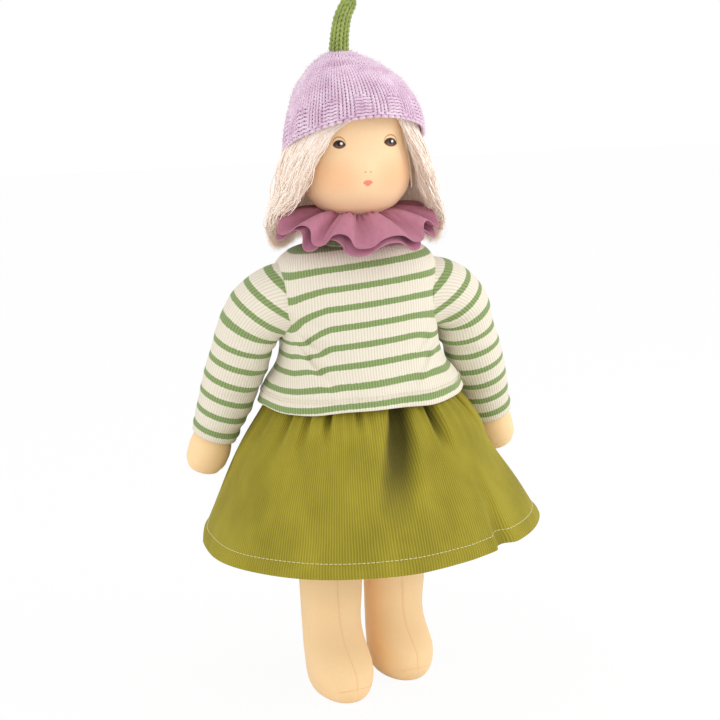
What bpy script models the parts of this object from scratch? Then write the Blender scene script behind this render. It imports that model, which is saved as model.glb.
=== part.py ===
"""Waldorf doll in a knitted flower cap, ruffled collar, striped sweater and corduroy skirt.

Metres, +Z up.  The doll stands on the floor at z = 0 with its middle on the Z axis, and faces -Y, so
its own left side is +X.  Every limb is a jersey skin round a wool filling.
"""
import math

import bmesh
import bpy
import numpy as np

TURN = 2.0 * math.pi

# Clearances and cloths
GAP = 0.0003                # between two touching pieces
FILLING_SLACK = 0.0007      # between a skin and the wool in it
SKIN = 0.0010               # jersey skin
SWEATER_CLOTH = 0.0015      # ribbed knit
SKIRT_CLOTH = 0.0012        # corduroy
COLLAR_CLOTH = 0.0011       # two layers of cotton
CAP_CLOTH = 0.0030          # thick wool knit
WIG_BASE = 0.0014           # knitted base that the hair is sewn to

# Legs
LEG_LENGTH = 0.172          # floor to hip axis
LEG_SPACING = 0.050         # between the two hips
THIGH_RADIUS = 0.0240
FOOT_HEIGHT = 0.046         # floor to ankle
FOOT_HALF_WIDTH = 0.0222
FOOT_HALF_LENGTH = 0.0300
TOE_REACH = 0.0120          # how far the foot's middle lies ahead of the leg's
STRIDE = 0.026              # how far the right foot stands ahead of the left
STANCE_SHIFT = 0.0035       # how far both feet stand to the doll's right of their hips
FOOT_TURN = math.radians(11.0)  # how far both feet turn to the doll's left
LEG_OPENING = 0.0050        # stuffing hole at the top of the leg

# Torso
TORSO_HEIGHT = 0.1166
TORSO_HALF_WIDTH = 0.0470
TORSO_HALF_DEPTH = 0.0370

# Neck and head
NECK_RADIUS = 0.0185
NECK_SINK = 0.0105          # how far the neck reaches into the torso
CHIN_HEIGHT = 0.337
HEAD_HEIGHT = 0.1020
HEAD_HALF_WIDTH = 0.0385
HEAD_HALF_DEPTH = 0.0375
THREAD_RADIUS = 0.0008      # thread that ties the neck
THREAD_DROP = 0.0060        # thread below the chin

# Arms
SHOULDER_DROP = 0.0359      # shoulder axis below the torso's top
ARMHOLE_HALF_WIDTH = 0.0523  # plane in which the sleeve turns
ARMHOLE_RADIUS = 0.0200
ELBOW_RADIUS = 0.0260       # bend of the arm's middle line below the shoulder
ARM_SLOPE = math.radians(17.0)       # from upright, outwards
ARM_BACK_LEAN = math.radians(14.0)   # from upright, backwards
ARM_RADIUS = 0.0172
WRIST_RADIUS = 0.0126
HAND_HALF_WIDTH = 0.0152
SLEEVE_RADIUS = 0.0205
SLEEVE_HEAD_RADIUS = 0.0245
CUFF_RADIUS = 0.0155
SLEEVE_LENGTH = 0.0820      # below the bend
HAND_LENGTH = 0.0320        # below the cuff

# Sweater
SWEATER_HEM_HEIGHT = 0.210
SWEATER_HEIGHT = 0.106      # hem to neck opening
SWEATER_HEM_HALF_WIDTH = 0.0725
SWEATER_HEM_HALF_DEPTH = 0.0580
CHEST_HALF_WIDTH = 0.0520
CHEST_HALF_DEPTH = 0.0400
NECKBAND_HEIGHT = 0.0060
NECKBAND_CLOTH = 0.0024

# Skirt
WAIST_HEIGHT = 0.228
SKIRT_LENGTH = 0.115
SKIRT_HEM_HALF_WIDTH = 0.1130
SKIRT_HEM_HALF_DEPTH = 0.0970
SKIRT_FOLD_DEPTH = 0.0055   # at the hem
SKIRT_PUFF = 0.0075         # how far the doll's left front stands out further at the hem
SKIRT_PUFF_TURN = math.radians(-42.0)
SKIRT_PUFF_REACH = math.radians(38.0)   # from the puff's middle to its edge
SKIRT_FOLDS = 12
ELASTIC_HEIGHT = 0.0080
ELASTIC_THICKNESS = 0.0020

# Collar
COLLAR_BAND_HEIGHT = 0.0080
COLLAR_BAND_CLOTH = 0.0022
COLLAR_RADIUS = 0.0570
COLLAR_FOLD_DEPTH = 0.0065
COLLAR_FALL = 0.0065        # from the band's middle to the hem's middle
COLLAR_FOLDS = 16

# Hair
WIG_BACK_SHARE = 0.84       # how far the wig base comes down the head's back
WIG_FACE_SHARE = 0.26
DOME_EDGE_SHARE = 0.02      # least step between a cover's edge and its next ring
HAIR_TOP_SHARE = 0.415      # where the falls of hair begin, below the head's top
FACE_HALF_ANGLE = math.radians(60.0)
HAIR_SIDE_ANGLE = math.radians(120.0)
HAIR_LENGTH = 0.089
HAIR_TOP_THICKNESS = 0.0012
HAIR_FALL_RADIUS = 0.0598
HAIR_THICKNESS = 0.0090
HAIR_EDGE_THINNING = 0.35   # share by which a fall is thinner at its edges

# Knitted cap
CAP_COVER_SHARE = 0.553     # how far the brim comes down the head at the sides
CAP_TOP_RISE = 0.0070       # cap's top above the head's
CAP_WIDENING = 0.0105       # cap's radius beyond the head's half width
CAP_FRONT_RISE = 0.0200
CAP_BACK_DROP = 0.0080
BRIM_SHARPNESS = 1.6        # how suddenly the brim rises over the face
STEM_HEIGHT = 0.0340
STEM_LEAN = 0.0050
STEM_RADIUS = 0.0060

# Squareness of level sections: 2 is an ellipse and more is nearer to a rectangle
ROUND = 2.0
FOOT_SQUARENESS = 2.2
TRUNK_SQUARENESS = 2.5      # torso, elastic and the skirt's waist
SHOULDER_SQUARENESS = 2.4   # sweater above the armholes

# Counts of faces
RING_SIDES = 24
LEG_SIDES = 18
ARM_SIDES = 14
SLEEVE_SIDES = 16
FILLING_SIDES = 8
PANEL_SIDES = 18
SKIRT_PANEL_SIDES = 36
COLLAR_SIDES = 80
CAP_SIDES = 28
HAIR_SIDES = 11
STEM_SIDES = 10

# Places that follow from the sizes
TORSO_BOTTOM = LEG_LENGTH + THIGH_RADIUS + GAP
TORSO_TOP = TORSO_BOTTOM + TORSO_HEIGHT
SHOULDER_HEIGHT = TORSO_TOP - SHOULDER_DROP
SWEATER_TOP = SWEATER_HEM_HEIGHT + SWEATER_HEIGHT
NECKBAND_BOTTOM = SWEATER_TOP - NECKBAND_HEIGHT / 2.0
COLLAR_BAND_BOTTOM = NECKBAND_BOTTOM + NECKBAND_HEIGHT + GAP
HEAD_TOP = CHIN_HEIGHT + HEAD_HEIGHT
CAP_RADIUS = HEAD_HALF_WIDTH + CAP_WIDENING
CAP_SIDE_BRIM_HEIGHT = HEAD_TOP - HEAD_HEIGHT * CAP_COVER_SHARE
CAP_TOP = HEAD_TOP + CAP_TOP_RISE
ELASTIC_HALF_WIDTH = TORSO_HALF_WIDTH + GAP + ELASTIC_THICKNESS
ELASTIC_HALF_DEPTH = TORSO_HALF_DEPTH + GAP + ELASTIC_THICKNESS

# Sections as shares: (height, half width, half depth) from bottom to top
TORSO_SHARES = ((0.0, 0.66, 0.62), (0.05, 0.89, 0.86), (0.14, 0.99, 0.985), (0.35, 1.0, 1.0),
                (0.58, 0.985, 0.96), (0.78, 0.97, 0.90), (0.89, 0.86, 0.79), (0.96, 0.62, 0.66),
                (1.0, 0.44, 0.559))
SHOULDER_SHARES_OF_TORSO = (0.80, 0.96)
CHEEK_SHARE = 0.26          # height of the widest part of the head
HEAD_SHARES = ((0.0, 0.50, 0.50), (0.05, 0.72, 0.74), (0.14, 0.91, 0.91), (CHEEK_SHARE, 1.0, 1.0),
               (0.38, 0.985, 0.985), (0.47, 0.965, 0.955), (0.58, 0.965, 0.96), (0.70, 0.935, 0.935),
               (0.836, 0.755, 0.755), (0.915, 0.53, 0.53), (0.975, 0.27, 0.27), (1.0, 0.10, 0.10))
# Legs: (height share of the leg below the hip, radius share of the thigh)
LEG_SHARES = ((0.88, 0.94), (0.72, 0.93), (0.55, 0.95), (0.40, 0.91), (0.28, 0.86))
# Feet: (height share, half width share, half length share, share of the toe's reach)
FOOT_SHARES = ((0.98, 0.94, 0.735, 0.0), (0.82, 0.95, 0.79, 0.20), (0.66, 0.98, 0.89, 0.52),
               (0.48, 1.0, 0.98, 0.86), (0.30, 0.98, 1.0, 1.0), (0.13, 0.89, 0.96, 1.0),
               (0.0, 0.64, 0.78, 1.0))
# Arms: where the rings lie along the sleeve and the hand, and (length share, half width share) of the hand
SLEEVE_STEP_SHARES = (0.30, 0.62, 0.90)
HAND_STEP_SHARES = (0.16, 0.46, 0.74, 0.93, 1.0)
UPPER_ARM_SHARE = 0.95
HAND_SHARES = ((0.2, 0.96), (0.5, 1.0), (0.78, 0.83), (0.94, 0.50), (1.0, 0.16))
ARM_FLATNESS_SHARES = (1.0, 0.97, 0.80)
SLEEVE_FLATNESS_SHARES = (0.90, 0.97, 1.0)
# Sweater: (height share, half width share, half depth share, squareness), widths between chest and hem
SWEATER_SHARES = ((0.0, 1.0, 1.0, 2.2), (0.10, 0.76, 0.86, 2.2), (0.24, 0.24, 0.42, 2.3),
                  (0.39, 0.0, 0.18, 3.0), (0.52, 0.0, 0.06, 3.6), (0.66, 0.0, 0.0, 3.8),
                  (0.80, 0.0, -0.12, 3.4))
# Shoulders: (height share, half width share of the chest, half depth share of the chest)
SHOULDER_SHARES = ((0.885, 0.85, 0.80), (0.95, 0.64, 0.68), (1.0, 0.487, 0.633))
# Skirt: (height share below the waist, widening share, fold share)
SKIRT_SHARES = ((0.0, 0.0, 0.06), (0.12, 0.13, 0.16), (0.23, 0.22, 0.30), (0.42, 0.45, 0.55),
                (0.62, 0.66, 0.75), (0.82, 0.85, 0.90), (1.0, 1.0, 1.0))
FOLD_SHIFT_SHARES = (0.09, 0.05)
# Collar: (width share, fall share) and how unevenly its folds lie
COLLAR_SHARES = ((0.0, 0.0), (0.30, 0.43), (0.62, 0.716), (1.0, 1.0))
COLLAR_SHIFT_SHARE = 0.04
# Hair: (height share from the top, spread share from the top radius to the fall, thickness share)
HAIR_SHARES = ((0.0, 0.0, 0.28), (0.22, 0.03, 0.30), (0.36, 0.08, 0.55), (0.52, 0.14, 0.95),
               (0.66, 0.42, 1.10), (0.78, 0.96, 0.98), (0.90, 0.99, 1.0), (1.0, 1.02, 0.60))
# Cap: (height share above the brim, radius share)
CAP_SHARES = ((0.0, 1.0), (0.20, 0.965), (0.42, 0.882), (0.632, 0.763), (0.76, 0.612), (0.867, 0.441),
              (0.965, 0.231), (1.0, 0.123))
# Stem: (height share, lean share, radius share)
STEM_SHARES = ((0.0, 0.0, 1.0), (0.35, -0.42, 0.90), (0.66, -0.30, 0.82), (0.88, 0.45, 0.74),
               (1.0, 1.0, 0.45))


def clear_scene():
    """Remove the objects that a new file opens with."""
    for item in list(bpy.data.objects):
        bpy.data.objects.remove(item, do_unlink=True)


def material(name, color, roughness):
    """A cloth or wool finish of one colour."""
    finish = bpy.data.materials.new(name)
    finish.use_nodes = True
    shader = finish.node_tree.nodes["Principled BSDF"]
    shader.inputs["Base Color"].default_value = (*color, 1.0)
    shader.inputs["Roughness"].default_value = roughness
    shader.inputs["Metallic"].default_value = 0.0
    return finish


def add_object(name, vertices, faces, finish, origin=(0.0, 0.0, 0.0)):
    """A named object from world points, with its own origin and faces that point outwards."""
    mesh = bpy.data.meshes.new(name)
    mesh.from_pydata((np.asarray(vertices) - np.asarray(origin)).tolist(), [], faces)
    work = bmesh.new()
    work.from_mesh(mesh)
    bmesh.ops.recalc_face_normals(work, faces=work.faces)
    work.to_mesh(mesh)
    work.free()
    mesh.shade_smooth()
    mesh.materials.append(finish)
    item = bpy.data.objects.new(name, mesh)
    item.location = origin
    bpy.context.collection.objects.link(item)
    return item


def add_stack(name, rings, finish, origin=(0.0, 0.0, 0.0)):
    """A closed body from a stack of rings, each end closed by a fan to its middle."""
    sides = len(rings[0])
    vertices = np.vstack(rings + [rings[0].mean(axis=0), rings[-1].mean(axis=0)])
    first_middle = len(rings) * sides
    last_middle = first_middle + 1
    last = (len(rings) - 1) * sides
    faces = []
    for level in range(len(rings) - 1):
        for side in range(sides):
            a = level * sides + side
            b = level * sides + (side + 1) % sides
            faces.append((a, b, b + sides, a + sides))
    for side in range(sides):
        after = (side + 1) % sides
        faces.append((first_middle, after, side))
        faces.append((last_middle, last + side, last + after))
    return add_object(name, vertices, faces, finish, origin)


def add_shell(name, outer, inner, finish, closed, origin=(0.0, 0.0, 0.0)):
    """A cloth of two facing grids joined at their edges; a closed one runs all the way round."""
    rows, columns = outer.shape[:2]
    count = rows * columns
    vertices = np.vstack((outer.reshape(-1, 3), inner.reshape(-1, 3)))
    steps = columns if closed else columns - 1
    faces = []
    for row in range(rows - 1):
        for column in range(steps):
            a = row * columns + column
            b = row * columns + (column + 1) % columns
            faces.append((a, b, b + columns, a + columns))
            faces.append((count + a + columns, count + b + columns, count + b, count + a))
    for column in range(steps):
        after = (column + 1) % columns
        top = (rows - 1) * columns
        faces.append((column, count + column, count + after, after))
        faces.append((top + after, count + top + after, count + top + column, top + column))
    if not closed:
        for row in range(rows - 1):
            for column in (0, columns - 1):
                a = row * columns + column
                faces.append((a, a + columns, count + a + columns, count + a))
    return add_object(name, vertices, faces, finish, origin)


def level_ring(middle, half_width, half_depth, angles, squareness=ROUND):
    """Points of a level superellipse; an angle of 0 is +X and a quarter turn is +Y."""
    cosine, sine = np.cos(angles), np.sin(angles)
    power = 2.0 / squareness
    x = middle[0] + half_width * np.sign(cosine) * np.abs(cosine) ** power
    y = middle[1] + half_depth * np.sign(sine) * np.abs(sine) ** power
    return np.column_stack((x, y, np.full(len(angles), middle[2])))


def full_turn(sides):
    """Evenly spaced angles all the way round."""
    return np.linspace(0.0, TURN, sides, endpoint=False)


def skirt_radius_wave(angles):
    """Folds of the skirt, from -1 in a valley to 1 on a ridge, with ridges at the front, back and sides."""
    twice, four_times = FOLD_SHIFT_SHARES
    uneven = angles + twice * np.sin(2.0 * angles) + four_times * np.sin(4.0 * angles)
    return np.cos(SKIRT_FOLDS * uneven)


def leg_rings(sides, inset, top_opening):
    """Rings of a leg from its round hip down to its flat sole, drawn in all over by the inset.

    Each row gives the middle's reach forward, the half width and the half length at a height.
    """
    angles = full_turn(sides)
    rings = []
    radius = THIGH_RADIUS - inset
    start = math.acos(top_opening / radius)
    for step in range(5):
        rise = start * (1.0 - step / 5.0)
        width = radius * math.cos(rise)
        rings.append(level_ring((0.0, 0.0, LEG_LENGTH + radius * math.sin(rise)), width, width, angles))
    for height_share, radius_share in LEG_SHARES:
        width = THIGH_RADIUS * radius_share - inset
        rings.append(level_ring((0.0, 0.0, LEG_LENGTH * height_share), width, width, angles))
    for height_share, width_share, length_share, reach_share in FOOT_SHARES:
        height = max(FOOT_HEIGHT * height_share, inset)
        rings.append(level_ring((0.0, -TOE_REACH * reach_share, height),
                                FOOT_HALF_WIDTH * width_share - inset,
                                FOOT_HALF_LENGTH * length_share - inset, angles, FOOT_SQUARENESS))
    return rings


def place_leg(rings, side):
    """Move leg rings to their hip, turn the foot, and lean them so that the right foot is ahead."""
    placed = []
    for ring in rings:
        moved = ring.copy()
        drop = np.clip((LEG_LENGTH - moved[:, 2]) / LEG_LENGTH, 0.0, 1.0)
        turned = FOOT_TURN * np.clip(1.5 - moved[:, 2] / FOOT_HEIGHT, 0.0, 1.0)
        x, y = moved[:, 0].copy(), moved[:, 1].copy()
        moved[:, 0] = x * np.cos(turned) - y * np.sin(turned)
        moved[:, 1] = x * np.sin(turned) + y * np.cos(turned)
        moved[:, 0] += side * LEG_SPACING / 2.0 - STANCE_SHIFT * drop
        moved[:, 1] += side * STRIDE / 2.0 * drop
        placed.append(moved)
    return placed


def make_leg(name, side, skin, wool):
    """One leg: a jersey skin with a stuffing hole at its top, round a wool filling."""
    hip = (side * LEG_SPACING / 2.0, 0.0, LEG_LENGTH)
    outside = place_leg(leg_rings(LEG_SIDES, 0.0, LEG_OPENING), side)
    inside = place_leg(leg_rings(LEG_SIDES, SKIN, LEG_OPENING), side)
    add_stack("leg_skin_" + name, inside[::-1] + outside, skin, hip)
    core = place_leg(leg_rings(FILLING_SIDES, SKIN + FILLING_SLACK, LEG_OPENING - FILLING_SLACK), side)
    add_stack("leg_filling_" + name, core, wool, hip)


def arm_frames(lead, length, steps):
    """Middle line of an arm: straight out from the torso, round the bend, then down and outwards.

    Gives the points, the directions along the line and the distances from the armhole.
    """
    bend = math.pi / 2.0 - ARM_SLOPE
    marks = np.concatenate((np.linspace(-lead, 0.0, 2)[:-1] if lead > 0.0 else np.zeros(0),
                            np.linspace(0.0, ELBOW_RADIUS * bend, 5),
                            ELBOW_RADIUS * bend + length * steps))
    turned = np.clip(marks / ELBOW_RADIUS, 0.0, bend)
    x = ARMHOLE_HALF_WIDTH + ELBOW_RADIUS * np.sin(turned) + np.minimum(marks, 0.0)
    z = SHOULDER_HEIGHT - ELBOW_RADIUS * (1.0 - np.cos(turned))
    beyond = np.maximum(marks - ELBOW_RADIUS * bend, 0.0)
    x = x + beyond * math.sin(ARM_SLOPE)
    z = z - beyond * math.cos(ARM_SLOPE)
    points = np.column_stack((x, np.zeros(len(x)), z))
    along = np.column_stack((np.cos(turned), np.zeros(len(x)), -np.sin(turned)))
    return points, along, beyond


def arm_rings(points, along, across, depth, sides):
    """Rings square to the arm's middle line, with a half width across it and a half depth along Y."""
    angles = full_turn(sides)
    rings = []
    for point, direction, half_width, half_depth in zip(points, along, across, depth):
        outward = np.array((-direction[2], 0.0, direction[0]))
        forward = np.array((0.0, 1.0, 0.0))
        rings.append(point + np.outer(np.cos(angles) * half_width, outward)
                     + np.outer(np.sin(angles) * half_depth, forward))
    return rings


def place_arm(rings, side):
    """Swing arm rings back to their rest place, and mirror them for the right arm."""
    placed = []
    for ring in rings:
        y, z = ring[:, 1], ring[:, 2] - SHOULDER_HEIGHT
        cosine, sine = math.cos(ARM_BACK_LEAN), math.sin(ARM_BACK_LEAN)
        placed.append(np.column_stack((side * ring[:, 0], y * cosine - z * sine,
                                       SHOULDER_HEIGHT + y * sine + z * cosine)))
    return placed


def make_arm(name, side, skin, wool, knit):
    """One arm: jersey skin with a mitten hand, wool filling, and the sweater's sleeve round it."""
    shoulder = (side * ARMHOLE_HALF_WIDTH, 0.0, SHOULDER_HEIGHT)
    lead = ARMHOLE_HALF_WIDTH - TORSO_HALF_WIDTH - GAP
    length = SLEEVE_LENGTH + HAND_LENGTH
    cuff_share = SLEEVE_LENGTH / length
    steps = np.concatenate((cuff_share * np.array(SLEEVE_STEP_SHARES),
                            cuff_share + (1.0 - cuff_share) * np.array(HAND_STEP_SHARES)))
    points, along, beyond = arm_frames(lead, length, steps)
    hand = np.array(HAND_SHARES)
    hand_marks = cuff_share + (1.0 - cuff_share) * hand[:, 0]
    marks = np.concatenate(((0.0, cuff_share / 2.0, cuff_share), hand_marks))
    widths = np.concatenate(((ARM_RADIUS, ARM_RADIUS * UPPER_ARM_SHARE, WRIST_RADIUS),
                             HAND_HALF_WIDTH * hand[:, 1]))
    across = np.interp(beyond / length, marks, widths)
    flatten = np.interp(beyond / length, (0.0, cuff_share, 1.0), ARM_FLATNESS_SHARES)
    outside = place_arm(arm_rings(points, along, across, across * flatten, ARM_SIDES), side)
    narrow = np.maximum(across - SKIN, SKIN)
    pulled = points - along * np.where(beyond == beyond.max(), SKIN, 0.0)[:, None]
    inside = place_arm(arm_rings(pulled, along, narrow, narrow * flatten, ARM_SIDES), side)
    add_stack("arm_skin_" + name, inside[::-1] + outside, skin, shoulder)
    slim = np.maximum(across - SKIN - FILLING_SLACK, SKIN / 2.0)
    drawn = points - along * np.where(beyond == beyond.max(), SKIN + 2.0 * FILLING_SLACK, 0.0)[:, None]
    core = place_arm(arm_rings(drawn, along, slim, slim * flatten, FILLING_SIDES), side)
    add_stack("arm_filling_" + name, core, wool, shoulder)
    make_sleeve(name, side, knit, shoulder)


def make_sleeve(name, side, knit, shoulder):
    """A set-in sleeve that starts flat against the armhole's plane, so that it turns in that plane."""
    points, along, beyond = arm_frames(0.0, SLEEVE_LENGTH, np.array((0.25, 0.50, 0.75, 1.0)))
    travelled = np.concatenate(((0.0,), np.cumsum(np.linalg.norm(np.diff(points, axis=0), axis=1))))
    bend_end = travelled[4]
    width = np.interp(travelled, (0.0, bend_end, bend_end + SLEEVE_LENGTH / 2.0, travelled[-1]),
                      (SLEEVE_HEAD_RADIUS, SLEEVE_RADIUS, SLEEVE_RADIUS * UPPER_ARM_SHARE, CUFF_RADIUS))
    depth = np.interp(travelled, (0.0, bend_end, travelled[-1]), SLEEVE_FLATNESS_SHARES) * width
    grids = []
    for cloth in (0.0, SWEATER_CLOTH):
        grids.append(place_arm(arm_rings(points, along, width - cloth, depth - cloth, SLEEVE_SIDES), side))
    outer, inner = grids
    add_shell("sleeve_" + name, np.array(outer), np.array(inner), knit, True, shoulder)


def make_torso(skin, wool):
    """Torso skin, open at the neck, round its wool filling."""
    angles = full_turn(RING_SIDES)

    def rings(inset, turn):
        rows = []
        for height_share, width_share, depth_share in TORSO_SHARES:
            height = TORSO_BOTTOM + max(TORSO_HEIGHT * height_share, inset)
            squareness = np.interp(height_share, SHOULDER_SHARES_OF_TORSO, (TRUNK_SQUARENESS, ROUND))
            rows.append(level_ring((0.0, 0.0, height), TORSO_HALF_WIDTH * width_share - inset,
                                   TORSO_HALF_DEPTH * depth_share - inset, turn, squareness))
        return rows

    add_stack("torso_skin", rings(0.0, angles) + rings(SKIN, angles)[::-1], skin)
    core = rings(SKIN + FILLING_SLACK, full_turn(2 * FILLING_SIDES))[:-2]
    add_stack("torso_filling", core, wool)


def head_width(height):
    """Half width and half depth of the head at a height."""
    table = np.array(HEAD_SHARES)
    share = (height - CHIN_HEIGHT) / HEAD_HEIGHT
    return (HEAD_HALF_WIDTH * np.interp(share, table[:, 0], table[:, 1]),
            HEAD_HALF_DEPTH * np.interp(share, table[:, 0], table[:, 2]))


def make_head(skin, wool, thread):
    """Head and neck skin, open at the neck's foot, round its wound wool ball, with the neck's thread."""
    neck_foot = TORSO_TOP - NECK_SINK

    def rings(inset, turn):
        rows = [level_ring((0.0, 0.0, neck_foot), NECK_RADIUS - inset, NECK_RADIUS - inset, turn),
                level_ring((0.0, 0.0, CHIN_HEIGHT - THREAD_DROP), NECK_RADIUS - inset,
                           NECK_RADIUS - inset, turn)]
        for height_share, width_share, depth_share in HEAD_SHARES:
            height = min(CHIN_HEIGHT + HEAD_HEIGHT * height_share, HEAD_TOP - inset)
            rows.append(level_ring((0.0, 0.0, height), HEAD_HALF_WIDTH * width_share - inset,
                                   HEAD_HALF_DEPTH * depth_share - inset, turn))
        return rows

    angles = full_turn(RING_SIDES)
    add_stack("head_skin", rings(SKIN, angles)[::-1] + rings(0.0, angles), skin)
    core = rings(SKIN + FILLING_SLACK, full_turn(2 * FILLING_SIDES))
    add_stack("head_filling", core, wool)
    outer_radius = NECK_RADIUS + GAP + 2.0 * THREAD_RADIUS
    middle_height = CHIN_HEIGHT - THREAD_DROP - 2.0 * THREAD_RADIUS
    rows = []
    for radius in (outer_radius, NECK_RADIUS + GAP):
        rows.append(np.array([level_ring((0.0, 0.0, middle_height + rise), radius, radius, angles)
                              for rise in (-THREAD_RADIUS, THREAD_RADIUS)]))
    add_shell("neck_thread", rows[0], rows[1], thread, True)


def raised(heights, widths, lift):
    """A profile moved square to itself: the change in height and in width for each of its points."""
    rise, run = np.gradient(heights), np.gradient(widths)
    length = np.hypot(rise, run)
    return -lift * run / length, lift * rise / length


def add_dome(name, low, high, reach, finish):
    """A cover over the head between two heights above its skin, with a square opening for the face."""
    angles = full_turn(RING_SIDES)
    edge = HEAD_TOP - HEAD_HEIGHT * reach
    levels = CHIN_HEIGHT + HEAD_HEIGHT * np.array(HEAD_SHARES)[:, 0]
    heights = np.concatenate(((edge,), levels[levels > edge + HEAD_HEIGHT * DOME_EDGE_SHARE]))
    width, depth = head_width(heights)
    grids = []
    for lift in (low, high):
        up, out = raised(heights, width, lift)
        up[0] = 0.0
        rows = zip(heights + up, width + out, depth + out)
        grids.append([level_ring((0.0, 0.0, z), x, y, angles) for z, x, y in rows])
    cover = add_stack(name, grids[0][::-1] + grids[1], finish)
    face_width = 2.0 * HEAD_HALF_WIDTH * math.sin(FACE_HALF_ANGLE)
    face_top = HEAD_TOP - HEAD_HEIGHT * WIG_FACE_SHARE
    bpy.ops.mesh.primitive_cube_add(size=1.0, location=(0.0, -HEAD_HALF_DEPTH, face_top - HEAD_HEIGHT / 2.0))
    cutter = bpy.context.object
    cutter.name = "face_cutter_" + name
    cutter.scale = (face_width, HEAD_HALF_DEPTH * math.cos(FACE_HALF_ANGLE), HEAD_HEIGHT)
    cutter.hide_render = True
    cutter.display_type = "WIRE"
    cut = cover.modifiers.new("face_opening", "BOOLEAN")
    cut.operation = "DIFFERENCE"
    cut.object = cutter


def make_wig(wool, hair):
    """Knitted wig base over the head, the hair that lies on it, and three falls of hair sewn to it."""
    add_dome("wig_base", GAP, GAP + WIG_BASE, WIG_BACK_SHARE, wool)
    on_base = WIG_BASE + 2.0 * GAP
    fall_top = HEAD_TOP - HEAD_HEIGHT * HAIR_TOP_SHARE
    add_dome("hair_top", on_base, on_base + HAIR_TOP_THICKNESS, HAIR_TOP_SHARE - DOME_EDGE_SHARE, hair)
    widest = CHIN_HEIGHT + HEAD_HEIGHT * CHEEK_SHARE
    ranges = (("hair_left", FACE_HALF_ANGLE, HAIR_SIDE_ANGLE),
              ("hair_back", HAIR_SIDE_ANGLE, TURN - HAIR_SIDE_ANGLE),
              ("hair_right", TURN - HAIR_SIDE_ANGLE, TURN - FACE_HALF_ANGLE))
    for name, first, last in ranges:
        parting = GAP / HAIR_FALL_RADIUS
        turn = np.linspace(first + parting, last - parting, HAIR_SIDES) - math.pi / 2.0
        rounded = 1.0 - HAIR_EDGE_THINNING * np.linspace(-1.0, 1.0, HAIR_SIDES) ** 4
        outer, inner = [], []
        for height_share, spread_share, thickness_share in HAIR_SHARES:
            level = fall_top - HAIR_LENGTH * height_share
            width, depth = head_width(max(level, widest))
            spread = (HAIR_FALL_RADIUS - HEAD_HALF_WIDTH - on_base) * spread_share
            wall = HAIR_THICKNESS * thickness_share * rounded
            middle = (0.0, 0.0, level)
            width, depth = width + on_base + spread, depth + on_base + spread
            inner.append(level_ring(middle, width, depth, turn))
            outer.append(level_ring(middle, width + wall, depth + wall, turn))
        add_shell(name, np.array(outer), np.array(inner), hair, False)


def make_cap(lilac, green):
    """Knitted cap whose brim rises over the face, and the knitted cord that stands on it as a stem."""
    angles = full_turn(CAP_SIDES)
    front = (1.0 - np.sin(angles)) / 2.0
    brim = CAP_SIDE_BRIM_HEIGHT - CAP_BACK_DROP + (CAP_FRONT_RISE + CAP_BACK_DROP) * front ** BRIM_SHARPNESS
    shares = np.array(CAP_SHARES)
    levels = CAP_SIDE_BRIM_HEIGHT + (CAP_TOP - CAP_SIDE_BRIM_HEIGHT) * shares[:, 0]
    radii = CAP_RADIUS * shares[:, 1]
    up, out = raised(levels, radii, -CAP_CLOTH)
    up[0] = 0.0
    outer, inner = [], []
    for i, share in enumerate(shares[:, 0]):
        height = brim + (CAP_TOP - brim) * share
        if share > 0.0:
            height = np.maximum(levels[i], height)
        outer.append(np.column_stack((np.cos(angles) * radii[i], np.sin(angles) * radii[i], height)))
        inside = radii[i] + out[i]
        inner.append(np.column_stack((np.cos(angles) * inside, np.sin(angles) * inside, height + up[i])))
    add_stack("cap", outer[::-1] + inner, lilac)
    turn = full_turn(STEM_SIDES)
    rings = []
    for height_share, lean_share, radius_share in STEM_SHARES:
        radius = STEM_RADIUS * radius_share
        rings.append(level_ring((STEM_LEAN * lean_share, 0.0, CAP_TOP + GAP + STEM_HEIGHT * height_share),
                                radius, radius, turn))
    add_stack("cap_stem", rings, green)


def make_collar(cotton):
    """Ruffled collar: a narrow band round the neck and a full ruffle that falls from it."""
    angles = full_turn(RING_SIDES)
    band_inside = NECK_RADIUS + 2.0 * THREAD_RADIUS
    band_outside = band_inside + COLLAR_BAND_CLOTH
    rows = []
    for radius in (band_outside, band_inside):
        rows.append(np.array([level_ring((0.0, 0.0, COLLAR_BAND_BOTTOM + rise), radius, radius, angles)
                              for rise in (0.0, COLLAR_BAND_HEIGHT)]))
    add_shell("collar_band", rows[0], rows[1], cotton, True)
    angles = full_turn(COLLAR_SIDES)
    start = band_outside + GAP
    height = COLLAR_BAND_BOTTOM + COLLAR_BAND_HEIGHT / 2.0
    upper, lower = [], []
    uneven = angles + COLLAR_SHIFT_SHARE * np.sin(3.0 * angles)
    for share, fall_share in COLLAR_SHARES:
        radius = start + (COLLAR_RADIUS - start) * share
        wave = COLLAR_FOLD_DEPTH * share * np.cos(COLLAR_FOLDS * uneven)
        middle = height - COLLAR_FALL * fall_share + wave
        x, y = np.cos(angles) * radius, np.sin(angles) * radius
        upper.append(np.column_stack((x, y, middle + COLLAR_CLOTH / 2.0)))
        lower.append(np.column_stack((x, y, middle - COLLAR_CLOTH / 2.0)))
    add_shell("collar_ruffle", np.array(upper), np.array(lower), cotton, True)


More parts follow.
